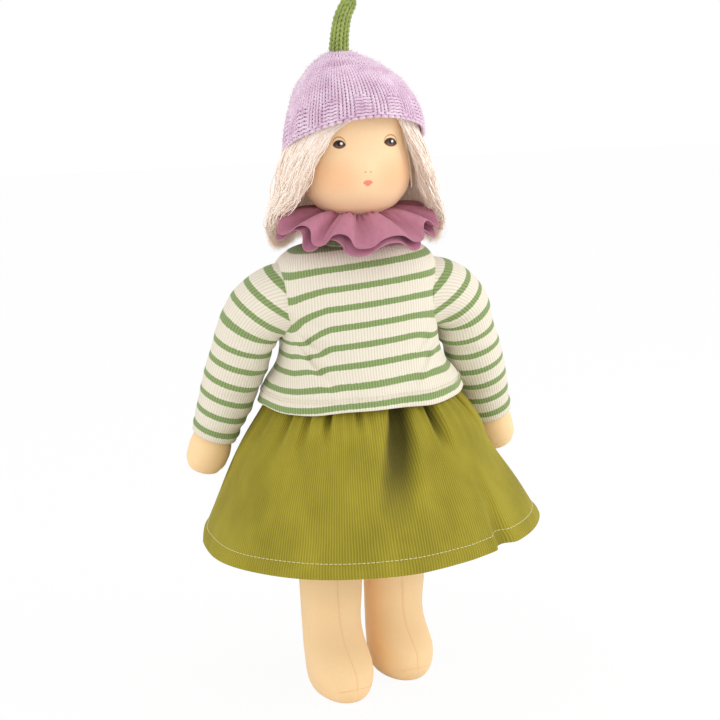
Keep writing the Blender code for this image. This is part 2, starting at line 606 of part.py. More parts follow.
def cut_armholes(panel):
    """Cut the two round armholes out of a sweater panel."""
    bpy.ops.mesh.primitive_cylinder_add(vertices=24, radius=ARMHOLE_RADIUS, depth=4.0 * CHEST_HALF_WIDTH,
                                        location=(0.0, 0.0, SHOULDER_HEIGHT),
                                        rotation=(0.0, math.pi / 2.0, 0.0))
    cutter = bpy.context.object
    cutter.name = "armhole_cutter_" + panel.name
    cutter.hide_render = True
    cutter.display_type = "WIRE"
    cut = panel.modifiers.new("armholes", "BOOLEAN")
    cut.operation = "DIFFERENCE"
    cut.object = cutter


def sweater_rows(inset, turn):
    """Rings of the sweater from its hem to its neck opening, drawn in by the inset."""
    rows = []
    for height_share, width_share, depth_share, squareness in SWEATER_SHARES:
        width = CHEST_HALF_WIDTH + (SWEATER_HEM_HALF_WIDTH - CHEST_HALF_WIDTH) * width_share
        depth = CHEST_HALF_DEPTH + (SWEATER_HEM_HALF_DEPTH - CHEST_HALF_DEPTH) * depth_share
        rows.append(level_ring((0.0, 0.0, SWEATER_HEM_HEIGHT + SWEATER_HEIGHT * height_share),
                               width - inset, depth - inset, turn, squareness))
    for height_share, width_share, depth_share in SHOULDER_SHARES:
        drop = inset if height_share < 1.0 else 0.0
        rows.append(level_ring((0.0, 0.0, SWEATER_HEM_HEIGHT + SWEATER_HEIGHT * height_share - drop),
                               CHEST_HALF_WIDTH * width_share - inset,
                               CHEST_HALF_DEPTH * depth_share - inset, turn, SHOULDER_SQUARENESS))
    return rows


def make_sweater(knit):
    """Sweater front and back, sewn at the sides and shoulders, with a narrow neckband."""
    seam = GAP / SWEATER_HEM_HALF_WIDTH
    for name, first in (("sweater_back", 0.0), ("sweater_front", math.pi)):
        turn = np.linspace(first + seam, first + math.pi - seam, PANEL_SIDES + 1)
        outer = np.array(sweater_rows(0.0, turn))
        inner = np.array(sweater_rows(SWEATER_CLOTH, turn))
        for grid in (outer, inner):
            grid[:, 0, 1] = grid[:, -1, 1] = GAP / 2.0 * (1.0 if first == 0.0 else -1.0)
        cut_armholes(add_shell(name, outer, inner, knit, False))
    angles = full_turn(RING_SIDES)
    opening = sweater_rows(SWEATER_CLOTH, angles)[-1]
    width = opening[:, 0].max() - GAP
    depth = opening[:, 1].max() - GAP
    rows = []
    for inset in (0.0, NECKBAND_CLOTH):
        rows.append(np.array([level_ring((0.0, 0.0, NECKBAND_BOTTOM + rise), width - inset, depth - inset,
                                         angles) for rise in (0.0, NECKBAND_HEIGHT)]))
    add_shell("sweater_neckband", rows[0], rows[1], knit, True)


def make_skirt(corduroy, elastic):
    """Gathered skirt: front and back panels sewn at the sides, hung from an elastic at the waist."""
    waist_width = ELASTIC_HALF_WIDTH + GAP + SKIRT_FOLD_DEPTH * SKIRT_SHARES[0][2]
    waist_depth = ELASTIC_HALF_DEPTH + GAP + SKIRT_FOLD_DEPTH * SKIRT_SHARES[0][2]
    for name, first in (("skirt_back", 0.0), ("skirt_front", math.pi)):
        turn = np.linspace(first, first + math.pi, SKIRT_PANEL_SIDES + 1)
        outward = np.column_stack((np.cos(turn), np.sin(turn), np.zeros(len(turn))))
        wave = skirt_radius_wave(turn)[:, None]
        outer, inner = [], []
        for height_share, spread_share, fold_share in SKIRT_SHARES:
            width = waist_width + (SKIRT_HEM_HALF_WIDTH - waist_width) * spread_share
            depth = waist_depth + (SKIRT_HEM_HALF_DEPTH - waist_depth) * spread_share
            squareness = TRUNK_SQUARENESS + (ROUND - TRUNK_SQUARENESS) * spread_share
            height = WAIST_HEIGHT - SKIRT_LENGTH * height_share
            row = level_ring((0.0, 0.0, height), width, depth, turn, squareness)
            off = (turn - SKIRT_PUFF_TURN + math.pi) % TURN - math.pi
            puff = SKIRT_PUFF * np.cos(np.clip(off / SKIRT_PUFF_REACH, -1.0, 1.0) * math.pi / 2.0) ** 2
            swell = wave * SKIRT_FOLD_DEPTH * fold_share + (puff * spread_share)[:, None]
            folded = row + outward * swell
            inner.append(folded)
            outer.append(folded + outward * SKIRT_CLOTH)
        outer, inner = np.array(outer), np.array(inner)
        for grid in (outer, inner):
            grid[:, 0, 1] = grid[:, -1, 1] = GAP / 2.0 * (1.0 if first == 0.0 else -1.0)
        add_shell(name, outer[::-1], inner[::-1], corduroy, False)
    angles = full_turn(RING_SIDES)
    rows = []
    for inset in (0.0, ELASTIC_THICKNESS):
        rows.append(np.array([level_ring((0.0, 0.0, WAIST_HEIGHT - rise), ELASTIC_HALF_WIDTH - inset,
                                         ELASTIC_HALF_DEPTH - inset, angles, TRUNK_SQUARENESS)
                              for rise in (ELASTIC_HEIGHT, 0.0)]))
    add_shell("waist_elastic", rows[0], rows[1], elastic, True)


def build():
    """Make every piece of the doll."""
    clear_scene()
    skin = material("peach_jersey", (0.80, 0.48, 0.29), 0.85)
    wool = material("raw_wool", (0.82, 0.76, 0.64), 0.95)
    thread = material("linen_thread", (0.78, 0.66, 0.52), 0.8)
    hair = material("pale_mohair", (0.86, 0.80, 0.72), 0.6)
    knit = material("striped_rib_knit", (0.80, 0.78, 0.64), 0.9)
    corduroy = material("olive_corduroy", (0.16, 0.20, 0.02), 0.9)
    elastic = material("white_elastic", (0.85, 0.85, 0.82), 0.7)
    lilac = material("lilac_wool_knit", (0.46, 0.27, 0.55), 0.9)
    green = material("green_wool_knit", (0.10, 0.25, 0.04), 0.9)
    cotton = material("plum_cotton", (0.27, 0.10, 0.20), 0.8)
    make_torso(skin, wool)
    make_head(skin, wool, thread)
    make_wig(wool, hair)
    make_cap(lilac, green)
    make_collar(cotton)
    make_sweater(knit)
    make_skirt(corduroy, elastic)
    for name, side in (("left", 1.0), ("right", -1.0)):
        make_leg(name, side, skin, wool)
        make_arm(name, side, skin, wool, knit)


build()
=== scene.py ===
import math
from functools import partial

import bmesh
import bpy
import numpy as np
from mathutils import Matrix


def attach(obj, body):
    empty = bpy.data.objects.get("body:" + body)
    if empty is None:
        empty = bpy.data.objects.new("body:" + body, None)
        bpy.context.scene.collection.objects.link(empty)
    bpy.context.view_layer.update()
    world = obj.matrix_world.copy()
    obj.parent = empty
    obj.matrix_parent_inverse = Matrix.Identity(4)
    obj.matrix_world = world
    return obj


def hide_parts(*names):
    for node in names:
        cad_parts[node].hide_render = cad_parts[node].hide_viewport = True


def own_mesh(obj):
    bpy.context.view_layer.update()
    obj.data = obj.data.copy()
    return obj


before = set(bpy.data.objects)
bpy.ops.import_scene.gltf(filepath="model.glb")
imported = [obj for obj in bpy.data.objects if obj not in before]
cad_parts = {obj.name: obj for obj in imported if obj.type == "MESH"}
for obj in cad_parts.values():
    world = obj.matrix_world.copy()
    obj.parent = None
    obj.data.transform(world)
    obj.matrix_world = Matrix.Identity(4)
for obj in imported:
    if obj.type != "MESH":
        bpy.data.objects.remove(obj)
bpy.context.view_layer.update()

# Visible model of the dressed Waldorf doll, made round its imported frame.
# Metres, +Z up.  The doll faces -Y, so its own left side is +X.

TURN = 2.0 * math.pi
FRONT = -math.pi / 2.0      # turn of the doll's face, where 0 is +X
SIDES = (("left", 1.0), ("right", -1.0))

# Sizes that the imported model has, in metres
HIP_HEIGHT, HIP_REACH, STANCE_SHIFT = 0.172, 0.025, 0.0035
THIGH_RADIUS = 0.0240
FOOT_HEIGHT, FOOT_HALF_WIDTH, FOOT_HALF_LENGTH = 0.046, 0.0222, 0.0300
TOE_REACH, STRIDE, FOOT_TURN = 0.0120, 0.026, math.radians(11.0)
NECK_FOOT, CHIN_HEIGHT, HEAD_HEIGHT = 0.3024, 0.337, 0.1020
HEAD_HALF_WIDTH, HEAD_HALF_DEPTH = 0.0385, 0.0375
SHOULDER_HEIGHT, ARMHOLE_HALF_WIDTH = 0.2770, 0.0523
ELBOW_RADIUS, ARM_SLOPE, ARM_BACK_LEAN = 0.0260, math.radians(17.0), math.radians(14.0)
SLEEVE_LENGTH, HAND_LENGTH = 0.0820, 0.0320
CAP_TOP, CAP_SIDE_BRIM = 0.4460, 0.3826
SWEATER_HEM, SWEATER_TOP = 0.210, 0.316
WAIST_HEIGHT, SKIRT_HEM = 0.228, 0.113
STRIPE_PITCH, STRIPE_WIDTH = 0.0130, 0.0041

# Sizes of the cloths and threads
SWEATER_HEM_HALF_WIDTH = 0.0725
HEM_WAVE_TOP, HEM_WAVE_FALL = 0.245, 0.035      # the sweater's hem waves below this level, fully so by then
KNIT_WALL, CORD_WALL, VOILE_WALL = 0.0013, 0.0012, 0.0006
STITCH_RADIUS, SEAM_RADIUS, SEAM_RISE = 0.00028, 0.00016, 0.00008
SKIRT_FLAT_RADIUS, SKIRT_FLAT_HEIGHT = 0.118, 0.118     # a gore is its turn times the first wide
SLEEVE_FLAT_RADIUS, RUFFLE_FLAT_RADIUS, RUFFLE_WIDTH = 0.0197, 0.075, 0.040
TOPSTITCH_SHARE = 0.922     # share of the way down the skirt where its topstitching runs


# Colours and nodes

def linear(code):
    """An sRGB hex colour as linear red, green, blue and alpha."""
    parts = [int(code[i:i + 2], 16) / 255.0 for i in (1, 3, 5)]
    return tuple(p / 12.92 if p <= 0.04045 else ((p + 0.055) / 1.055) ** 2.4 for p in parts) + (1.0,)


def add_node(tree, kind, settings=None, inputs=None):
    """One shader node with its settings; an input is a value, or a socket that is linked to it."""
    made = tree.nodes.new(kind)
    for key, value in (settings or {}).items():
        setattr(made, key, value)
    for key, value in (inputs or {}).items():
        if isinstance(value, bpy.types.NodeSocket):
            tree.links.new(value, made.inputs[key])
        else:
            made.inputs[key].default_value = value
    return made


def new_finish(name, **constants):
    """A material, its node tree and its shader, with the shader's constant inputs set by name."""
    finish = bpy.data.materials.new(name)
    finish.use_nodes = True
    tree = finish.node_tree
    shader = tree.nodes["Principled BSDF"]
    for key, value in constants.items():
        shader.inputs[key.replace("_", " ")].default_value = value
    return finish, tree, shader


def tint(tree, share, low, high):
    """A colour between two others, at a share from 0 to 1; each is a hex code or a socket."""
    low, high = (linear(colour) if isinstance(colour, str) else colour for colour in (low, high))
    mix = add_node(tree, "ShaderNodeMix", {"data_type": "RGBA"}, {0: share, 6: low, 7: high})
    return mix.outputs[2]


def both(tree, operation, first, second=0.0):
    """Two shares joined by a sum on them, such as SUBTRACT or DIVIDE."""
    return add_node(tree, "ShaderNodeMath", {"operation": operation}, {0: first, 1: second}).outputs[0]


def plus(tree, first, second):
    """Two shares added."""
    return both(tree, "ADD", first, second)


def times(tree, first, second):
    """Two shares multiplied."""
    return both(tree, "MULTIPLY", first, second)


def most(tree, first, second):
    """The greater of two shares."""
    return both(tree, "MAXIMUM", first, second)


def least(tree, first, second):
    """The lesser of two shares."""
    return both(tree, "MINIMUM", first, second)


def noise(tree, at, scale, detail=2.0):
    """Cloudy noise around a half, with a number of clouds to the metre."""
    inputs = {"Vector": at, "Scale": scale, "Detail": detail}
    return add_node(tree, "ShaderNodeTexNoise", None, inputs).outputs["Fac"]


def object_place(tree):
    """The object's own coordinates, in metres."""
    return add_node(tree, "ShaderNodeTexCoord").outputs["Object"]


def cloth_place(tree):
    """Where a point lies on the flat cloth: across it and up it, in metres."""
    return add_node(tree, "ShaderNodeUVMap", {"uv_map": "cloth"}).outputs[0]


def stored(tree, name):
    """A number that the mesh stores at each point."""
    return add_node(tree, "ShaderNodeAttribute", {"attribute_name": name}).outputs["Fac"]


def paint(tree, shader, colour):
    """Give the shader its colour."""
    tree.links.new(colour, shader.inputs["Base Color"])


def relief(tree, shader, heights, depth, strength=1.0):
    """Bump from a height between 0 and 1 that stands for a depth in metres."""
    inputs = {"Height": heights, "Distance": depth, "Strength": strength}
    bump = add_node(tree, "ShaderNodeBump", None, inputs)
    tree.links.new(bump.outputs["Normal"], shader.inputs["Normal"])


# Meshes

def grid_faces(count, rows, columns, wrap):
    """Corner numbers of the squares in grids; a wrapped one joins its last column to its first."""
    corner = np.arange(count * rows * columns).reshape(count, rows, columns)
    if wrap:
        corner = np.concatenate((corner, corner[:, :, :1]), axis=2)
    squares = (corner[:, :-1, :-1], corner[:, :-1, 1:], corner[:, 1:, 1:], corner[:, 1:, :-1])
    return np.stack(squares, axis=-1).reshape(-1, 4)


def add_surface(name, points, finish, uv=None, wrap=False, weld=True, keep=None, solid=0.0, outward=None):
    """A mesh from grids of points, shaped (..., rows, columns, 3).

    Points in one place are welded, which closes seams and poles.  keep says which points stay, solid is a
    wall thickness that grows inwards, and outward turns the faces away from the middle.
    """
    rows, columns = points.shape[-3:-1]
    flat = points.reshape(-1, 3)
    faces = grid_faces(len(flat) // (rows * columns), rows, columns, wrap)
    if keep is not None:
        faces = faces[keep.reshape(-1)[faces].all(axis=1)]
    mesh = bpy.data.meshes.new(name)
    mesh.from_pydata(flat, [], faces)
    if uv is not None:
        layer = mesh.uv_layers.new(name="cloth")
        layer.data.foreach_set("uv", uv.reshape(-1, 2)[faces.ravel()].ravel().astype(np.float32))
    if weld or keep is not None:
        work = bmesh.new()
        work.from_mesh(mesh)
        if weld:
            bmesh.ops.remove_doubles(work, verts=work.verts, dist=1e-6)
        bmesh.ops.delete(work, geom=[v for v in work.verts if not v.link_faces], context="VERTS")
        if outward:
            bmesh.ops.recalc_face_normals(work, faces=work.faces)
        work.to_mesh(mesh)
        work.free()
    mesh.shade_smooth()
    mesh.materials.append(finish)
    piece = bpy.data.objects.new(name, mesh)
    bpy.context.scene.collection.objects.link(piece)
    if solid:
        wall = piece.modifiers.new("wall", "SOLIDIFY")
        wall.thickness = solid
        wall.offset = -1.0
    return piece


def mark_fold_shade(piece, shares):
    """Store at each point how deep in a fold it lies, from 0 to 1, which the finish darkens as painted
    shade.
    """
    layer = piece.data.attributes.new("fold", "FLOAT", "POINT")
    layer.data.foreach_set("value", np.ascontiguousarray(shares, np.float32).ravel())


def eased(at, marks, values):
    """Values on a smooth curve through marks: a cubic between each two, sloped as the line past its ends."""
    marks, values = np.asarray(marks, float), np.asarray(values, float)
    slope = np.gradient(values, marks)
    i = np.clip(np.searchsorted(marks, at, side="right") - 1, 0, len(marks) - 2)
    width = marks[i + 1] - marks[i]
    t = held((at - marks[i]) / width)
    return ((1 + 2 * t) * (1 - t) ** 2 * values[i] + t * (1 - t) ** 2 * width * slope[i]
            + t * t * (3 - 2 * t) * values[i + 1] + t * t * (t - 1) * width * slope[i + 1])


def along_profile(table, steps):
    """Even steps along a smooth line through a table's rows, each column eased over the distance."""
    table = np.asarray(table, float)
    marks = np.concatenate(([0.0], np.cumsum(np.hypot(*np.diff(table[:, :2], axis=0).T))))
    at = np.linspace(0.0, marks[-1], steps)
    return [eased(at, marks, column) for column in table.T], at


def held(values):
    """Values kept between zero and one."""
    return np.clip(values, 0.0, 1.0)


def joined(*parts):
    """Points from their coordinates, each spread over the same grid."""
    return np.stack(np.broadcast_arrays(*parts), axis=-1)


def oval(turn, half_width, half_depth, squareness=2.0):
    """Superellipse |x/a|^n + |y/b|^n = 1 as x and y at a turn."""
    cosine, sine = np.cos(turn), np.sin(turn)
    power = 2.0 / squareness
    return (half_width * np.sign(cosine) * np.abs(cosine) ** power,
            half_depth * np.sign(sine) * np.abs(sine) ** power)


def unit(vectors):
    """Vectors brought to length one."""
    return vectors / np.maximum(np.linalg.norm(vectors, axis=-1, keepdims=True), 1e-12)


def tubes(paths, radii, sides, facing, flatness=1.0, closed=False):
    """Round or flattened tubes: at each point, the path plus a ring across its tangent.

    paths is (..., points, 3), radii fits (..., points), and facing is the way that the flat side looks.
    """
    if closed:
        tangent = np.roll(paths, -1, axis=-2) - np.roll(paths, 1, axis=-2)
    else:
        tangent = np.gradient(paths, axis=-2)
    across = unit(np.cross(unit(tangent), facing))
    upward = unit(np.cross(across, tangent))
    turn = np.linspace(0.0, TURN, sides, endpoint=False)[:, None]
    ring = (np.cos(turn) * across[..., None, :] + flatness * np.sin(turn) * upward[..., None, :])
    return paths[..., None, :] + np.asarray(radii)[..., None, None] * ring


def bell(x, middle, width):
    """A smooth hump of height one: exp(-((x - middle) / width)^2)."""
    return np.exp(-(((x - middle) / width) ** 2))


def turned(x, middle):
    """Difference between two turns, brought within half a turn."""
    return (x - middle + math.pi) % TURN - math.pi


# Finishes

def jersey(name, low="#F9D4A6", high="#FCDFB6", wales="#F7D0A0"):
    """Cotton interlock jersey, machine-knitted and stretched smooth over wool: matt, faintly fuzzy, even."""
    finish, tree, shader = new_finish(name, Roughness=0.86, Sheen_Weight=0.18, Sheen_Roughness=0.5)
    place = object_place(tree)
    # The dye's slow change over about 30 mm
    slow = noise(tree, place, 34.0)
    # Wales of 0.5 mm are too fine to show, so they are drawn 1.1 mm apart
    wale = noise(tree, place, 900.0)
    dye = tint(tree, slow, low, high)
    shaded = tint(tree, wale, dye, wales)
    paint(tree, shader, shaded)
    relief(tree, shader, wale, 0.00012, 0.5)
    return finish, tree, shader, place, shaded


def spot(tree, place, x, z, half_width, half_height, tilt=0.0, soft=0.12):
    """Share of a painted oval at each point: one inside it and zero outside, with a soft rim."""
    centred = add_node(tree, "ShaderNodeMapping", {"vector_type": "TEXTURE"},
                       {"Vector": place, "Location": (x, -0.036, z), "Rotation": (0.0, tilt, 0.0),
                        "Scale": (half_width, 0.03, half_height)})
    reach = add_node(tree, "ShaderNodeVectorMath", {"operation": "LENGTH"}, {0: centred.outputs[0]})
    edge = add_node(tree, "ShaderNodeMapRange", {"interpolation_type": "SMOOTHSTEP"},
                    {"Value": reach.outputs["Value"], "From Min": 1.0 + soft, "From Max": 1.0 - soft})
    return edge.outputs[0]


def waved(tree, distance, pitch):
    """A wave from zero to one along a distance, one for each pitch: (1 + sin) / 2."""
    wave = both(tree, "SINE", times(tree, distance, TURN / pitch))
    return times(tree, plus(tree, wave, 1.0), 0.5)


def painted_face():
    """The head's jersey with eyes, lid lines, nostrils, mouth and rubbed-in cheeks in textile paint."""
    finish, tree, shader, place, colour = jersey("face_jersey")
    mark = partial(spot, tree, place)
    for side in (1.0, -1.0):
        cheek = mark(side * 0.0205, 0.3640, 0.0125, 0.0105, 0.0, 0.75)
        blush = times(tree, cheek, 0.42)
        colour = tint(tree, blush, colour, "#F2A875")
    for side in (1.0, -1.0):
        x, z, tilt = side * 0.0174, 0.3853, side * 0.30
        size = 1.0 if side > 0.0 else 0.78
        inside = mark(x, z + 0.0008, 0.0052 * size, 0.0048, tilt, 0.07)
        below = mark(x, z + 0.0001, 0.0049 * size, 0.0045, tilt, 0.07)
        arc = least(tree, inside, both(tree, "SUBTRACT", 1.0, below))
        arc = times(tree, most(tree, arc, 0.0), 0.75)
        colour = tint(tree, arc, colour, "#B5763C")
        almond = least(tree, mark(x, z + 0.0016, 0.0058 * size, 0.0042, tilt, 0.08),
                      mark(x, z - 0.0011, 0.0052 * size, 0.0042, tilt, 0.08))
        colour = tint(tree, almond, colour, "#33211D")
        iris = least(tree, almond, mark(x - 0.0002, z - 0.0013, 0.0028, 0.0020, tilt, 0.5))
        colour = tint(tree, times(tree, iris, 0.85), colour, "#7A5446")
        pupil = mark(x, z + 0.0005, 0.0014, 0.0014, 0.0, 0.25)
        colour = tint(tree, pupil, colour, "#120C0C")
        glint = mark(x + 0.0013, z + 0.0007, 0.00085, 0.00085, 0.0, 0.3)
        colour = tint(tree, glint, colour, "#FFFFFF")
        nostril = mark(side * 0.0018, 0.3672, 0.00055, 0.00045, 0.0, 0.5)
        colour = tint(tree, times(tree, nostril, 0.75), colour, "#9A6B42")
    lips = most(tree, mark(-0.00125, 0.3604, 0.0020, 0.0012, -0.35, 0.16),
                mark(0.00125, 0.3604, 0.0020, 0.0012, 0.35, 0.16))
    lips = most(tree, lips, mark(0.0, 0.3594, 0.0019, 0.0017, 0.0, 0.16))
    colour = tint(tree, lips, colour, "#FB8A72")
    paint(tree, shader, colour)
    return finish


def mohair():
    """Kid mohair locks, combed: fine long fibres, cream to honey, with a silky gloss along them.

    Light passes from fibre to fibre inside a lock, and a faint glow stands for that.
    """
    finish, tree, shader = new_finish("kid_mohair", Roughness=0.55, Sheen_Weight=0.30, Sheen_Roughness=0.4,
                                      Emission_Color=linear("#F6E2CF"), Emission_Strength=0.055)
    place = object_place(tree)
    shade = stored(tree, "lock")
    # Locks some 8 mm wide differ, and run twelve times as far down as across
    drawn = add_node(tree, "ShaderNodeMapping", None, {"Vector": place, "Scale": (1.0, 1.0, 0.08)})
    lock = noise(tree, drawn.outputs[0], 240.0, 3.0)
    dye = tint(tree, lock, "#F6DAC2", "#FEF6EE")
    mixed = tint(tree, times(tree, shade, 0.8), dye, "#FDF3EA")
    paint(tree, shader, mixed)
    fibre = noise(tree, drawn.outputs[0], 1500.0)
    relief(tree, shader, fibre, 0.00012, 0.5)
    return finish


def wool_yarn(name, low, high):
    """Plied wool hand-knitting yarn: matt, soft, with loose fibres that catch the light at its edges."""
    finish, tree, shader = new_finish(name, Roughness=0.92, Sheen_Weight=0.55, Sheen_Roughness=0.6)
    place = object_place(tree)
    slow = noise(tree, place, 90.0)
    # Fibres of 0.03 mm are drawn 0.6 mm apart, as the yarn's softness
    fibre = noise(tree, place, 1700.0, 3.0)
    heather = times(tree, slow, fibre)
    inputs = {"Value": heather, "From Min": 0.12, "From Max": 0.40}
    spread = add_node(tree, "ShaderNodeMapRange", None, inputs)
    paint(tree, shader, tint(tree, spread.outputs[0], low, high))
    relief(tree, shader, fibre, 0.0004, 0.8)
    return finish


def striped_rib(name, stripe_start):
    """Fine cotton rib knit in cream with leaf-green stripes: ribs stand up and their valleys are shaded."""
    finish, tree, shader = new_finish(name, Roughness=0.9, Sheen_Weight=0.12, Sheen_Roughness=0.5)
    cloth = cloth_place(tree)
    parts = add_node(tree, "ShaderNodeSeparateXYZ", None, {0: cloth})
    across, up = parts.outputs[0], parts.outputs[1]
    # Ribs 2 mm apart
    rib = waved(tree, across, 0.0020)
    # Stitches 1.4 mm high, drawn as a fine unevenness
    stitch = noise(tree, cloth, 1100.0)
    jog = times(tree, both(tree, "SUBTRACT", stitch, 0.5), 0.0014)
    level = plus(tree, up, jog)
    phase = both(tree, "DIVIDE", both(tree, "SUBTRACT", level, stripe_start), STRIPE_PITCH)
    tooth = both(tree, "PINGPONG", phase, 0.5)
    half = STRIPE_WIDTH / STRIPE_PITCH / 2.0
    green = add_node(tree, "ShaderNodeMapRange", {"interpolation_type": "SMOOTHSTEP"},
                     {"Value": tooth, "From Min": half + 0.02, "From Max": half - 0.02}).outputs[0]
    cream = tint(tree, rib, "#DFD5C2", "#F1E9D9")
    leaf = tint(tree, rib, "#69844A", "#8CA561")
    colour = tint(tree, green, cream, leaf)
    mottled = tint(tree, times(tree, stitch, 0.18), colour, "#B9B392")
    paint(tree, shader, mottled)
    height = plus(tree, rib, times(tree, stitch, 0.7))
    relief(tree, shader, height, 0.00035, 0.6)
    return finish


def corduroy():
    """Fine-wale cotton corduroy in olive: brushed pile in narrow cords, paler where it leans to light, with
    painted shade in the grooves between cords and deep in the folds.
    """
    finish, tree, shader = new_finish("olive_corduroy_pile", Roughness=0.88, Sheen_Weight=0.22,
                                      Sheen_Roughness=0.4, Sheen_Tint=linear("#C9BE4C"))
    cloth = cloth_place(tree)
    place = object_place(tree)
    # Wales 2 mm apart, straight down the cloth
    sway = noise(tree, cloth, 60.0, 1.0)
    across = add_node(tree, "ShaderNodeSeparateXYZ", None, {0: cloth}).outputs[0]
    moved = plus(tree, across, times(tree, sway, 0.0012))
    wale = waved(tree, moved, 0.0020)
    pile = noise(tree, place, 1300.0, 3.0)
    # The nap lies this way and that in patches of some 30 mm, drawn out down the cloth
    drawn = add_node(tree, "ShaderNodeMapping", None, {"Vector": place, "Scale": (1.0, 1.0, 0.45)})
    brushed = noise(tree, drawn.outputs[0], 42.0, 3.0)
    nap = add_node(tree, "ShaderNodeMapRange", None, {"Value": brushed, "From Min": 0.30, "From Max": 0.70})
    # The cords are painted paler on their crests and darker in the grooves between them, as painted shade,
    # with the nap's patches mixed in
    share = plus(tree, times(tree, wale, 0.55), times(tree, nap.outputs[0], 0.45))
    lit = tint(tree, share, "#786E0A", "#AA9C29")
    # Painted shade: deep in a fold the colour is darkened towards dark olive
    fold = stored(tree, "fold")
    paint(tree, shader, tint(tree, times(tree, fold, 0.80), lit, "#3A3405"))
    height = plus(tree, wale, times(tree, pile, 0.6))
    relief(tree, shader, height, 0.00030, 0.6)
    return finish


def plum_voile():
    """Washed plum cotton, plain-woven: matt, finely crinkled by washing, with painted shade in the valleys
    of its folds.
    """
    finish, tree, shader = new_finish("washed_plum_cotton", Roughness=0.82, Sheen_Weight=0.12,
                                      Sheen_Roughness=0.5)
    cloth = cloth_place(tree)
    # Threads 0.3 mm apart are drawn 0.9 mm apart
    weave = noise(tree, cloth, 1100.0)
    crinkle = noise(tree, cloth, 170.0, 3.0)
    share = plus(tree, times(tree, weave, 0.4),
                 times(tree, crinkle, 0.6))
    lit = tint(tree, share, "#A45D76", "#C98A9F")
    # Painted shade: darker towards deep plum in the folds' valleys, most near the neck
    fold = stored(tree, "fold")
    paint(tree, shader, tint(tree, times(tree, fold, 0.6), lit, "#7C3C50"))
    height = plus(tree, times(tree, weave, 0.25), crinkle)
    relief(tree, shader, height, 0.0006, 0.6)
    return finish


def spun_thread(name, low, high, scale=1400.0):
    """Spun thread or felted wool: short fibres, matt, and uneven in tone."""
    finish, tree, shader = new_finish(name, Roughness=0.8)
    place = object_place(tree)
    fibre = noise(tree, place, scale, 3.0)
    paint(tree, shader, tint(tree, fibre, low, high))
    relief(tree, shader, fibre, 0.0003, 0.7)
    return finish


# Stuffed body

def make_head(finish):
    """Head and neck: ovals round a smooth profile, with full cheeks and a small raised nose."""
    share = np.array(((0.05, 0.72, 0.74), (0.14, 0.91, 0.91), (0.26, 1.0, 1.0), (0.38, 0.985, 0.99),
                      (0.47, 0.968, 0.958), (0.58, 0.965, 0.96), (0.70, 0.935, 0.935), (0.836, 0.755, 0.755),
                      (0.915, 0.55, 0.55), (0.975, 0.29, 0.29), (1.0, 0.0, 0.0)))
    neck = [(NECK_FOOT, 0.0, 0.0), (NECK_FOOT + 0.0001, 0.0185, 0.0185), (0.3200, 0.0185, 0.0185),
            (0.3310, 0.0185, 0.0185), (0.3362, 0.0200, 0.0205)]
    head = [(CHIN_HEIGHT + HEAD_HEIGHT * z, HEAD_HALF_WIDTH * x, HEAD_HALF_DEPTH * y) for z, x, y in share]
    (level, width, depth), _ = along_profile(np.array(neck + head), 150)
    turn = np.linspace(0.0, TURN, 161)
    x, y = oval(turn[None, :], width[:, None], depth[:, None])
    z = np.broadcast_to(level[:, None], x.shape)
    face = held(-y / HEAD_HALF_DEPTH) ** 2
    out = 0.0009 * bell(x, 0.0, 0.0045) * bell(z, 0.3695, 0.0045)
    out = out + 0.0007 * (bell(x, 0.019, 0.010) + bell(x, -0.019, 0.010)) * bell(z, 0.362, 0.012)
    out = out - 0.0006 * (bell(x, 0.0172, 0.007) + bell(x, -0.0172, 0.007)) * bell(z, 0.3855, 0.006)
    y = y - out * face
    return add_surface("head_jersey", joined(x, y, z), finish, outward=True)


def leg_surface(side, level, turn, lift=0.0):
    """Points of a leg from the hip's round top at a level of 0 to the middle of the sole at 1."""
    table = [(HIP_HEIGHT + THIGH_RADIUS, 0.0, 0.0, 0.0)]
    for step in range(1, 5):
        rise = math.radians(90.0 - 22.5 * step)
        radius = THIGH_RADIUS * math.cos(rise)
        table.append((HIP_HEIGHT + THIGH_RADIUS * math.sin(rise), radius, radius, 0.0))
    for height_share, share in ((0.88, 0.94), (0.72, 0.93), (0.55, 0.95), (0.40, 0.91)):
        table.append((HIP_HEIGHT * height_share, THIGH_RADIUS * share, THIGH_RADIUS * share, 0.0))
    for height_share, width, length, reach in (
            (0.98, 0.94, 0.735, 0.0), (0.82, 0.95, 0.79, 0.20), (0.66, 0.98, 0.89, 0.52),
            (0.48, 1.0, 0.98, 0.86), (0.30, 0.985, 1.0, 1.0), (0.14, 0.90, 0.965, 1.0),
            (0.045, 0.79, 0.88, 1.0), (0.0, 0.66, 0.79, 1.0), (0.0, 0.0, 0.0, 1.0)):
        table.append((FOOT_HEIGHT * height_share, FOOT_HALF_WIDTH * width, FOOT_HALF_LENGTH * length, reach))
    table = np.array(table)
    marks = np.concatenate(([0.0], np.cumsum(np.hypot(*np.diff(table[:, :2], axis=0).T))))
    z, width, length, reach = (eased(level * marks[-1], marks, column) for column in table.T)
    z = np.maximum(z, 0.0)
    x, y = oval(turn, np.maximum(width + lift, 0.0), np.maximum(length + lift, 0.0), 2.1)
    drop = held((HIP_HEIGHT - z) / HIP_HEIGHT)
    by = FOOT_TURN * held(1.5 - z / FOOT_HEIGHT)
    y = y - TOE_REACH * reach
    x, y = x * np.cos(by) - y * np.sin(by), x * np.sin(by) + y * np.cos(by)
    x = x + side * HIP_REACH - STANCE_SHIFT * drop
    y = y + side * STRIDE / 2.0 * drop
    return joined(x, y, z)


def leg_swell(side, level, turn):
    """How far a leg's jersey stands out: in at the seam down its front, and slowly uneven below the knee."""
    groove = -0.00022 * bell(turn, FRONT, 0.05) * held((level - 0.30) / 0.2)
    return groove + 0.0006 * np.sin(3.0 * turn + 9.0 * level + side) * bell(level, 0.55, 0.25)


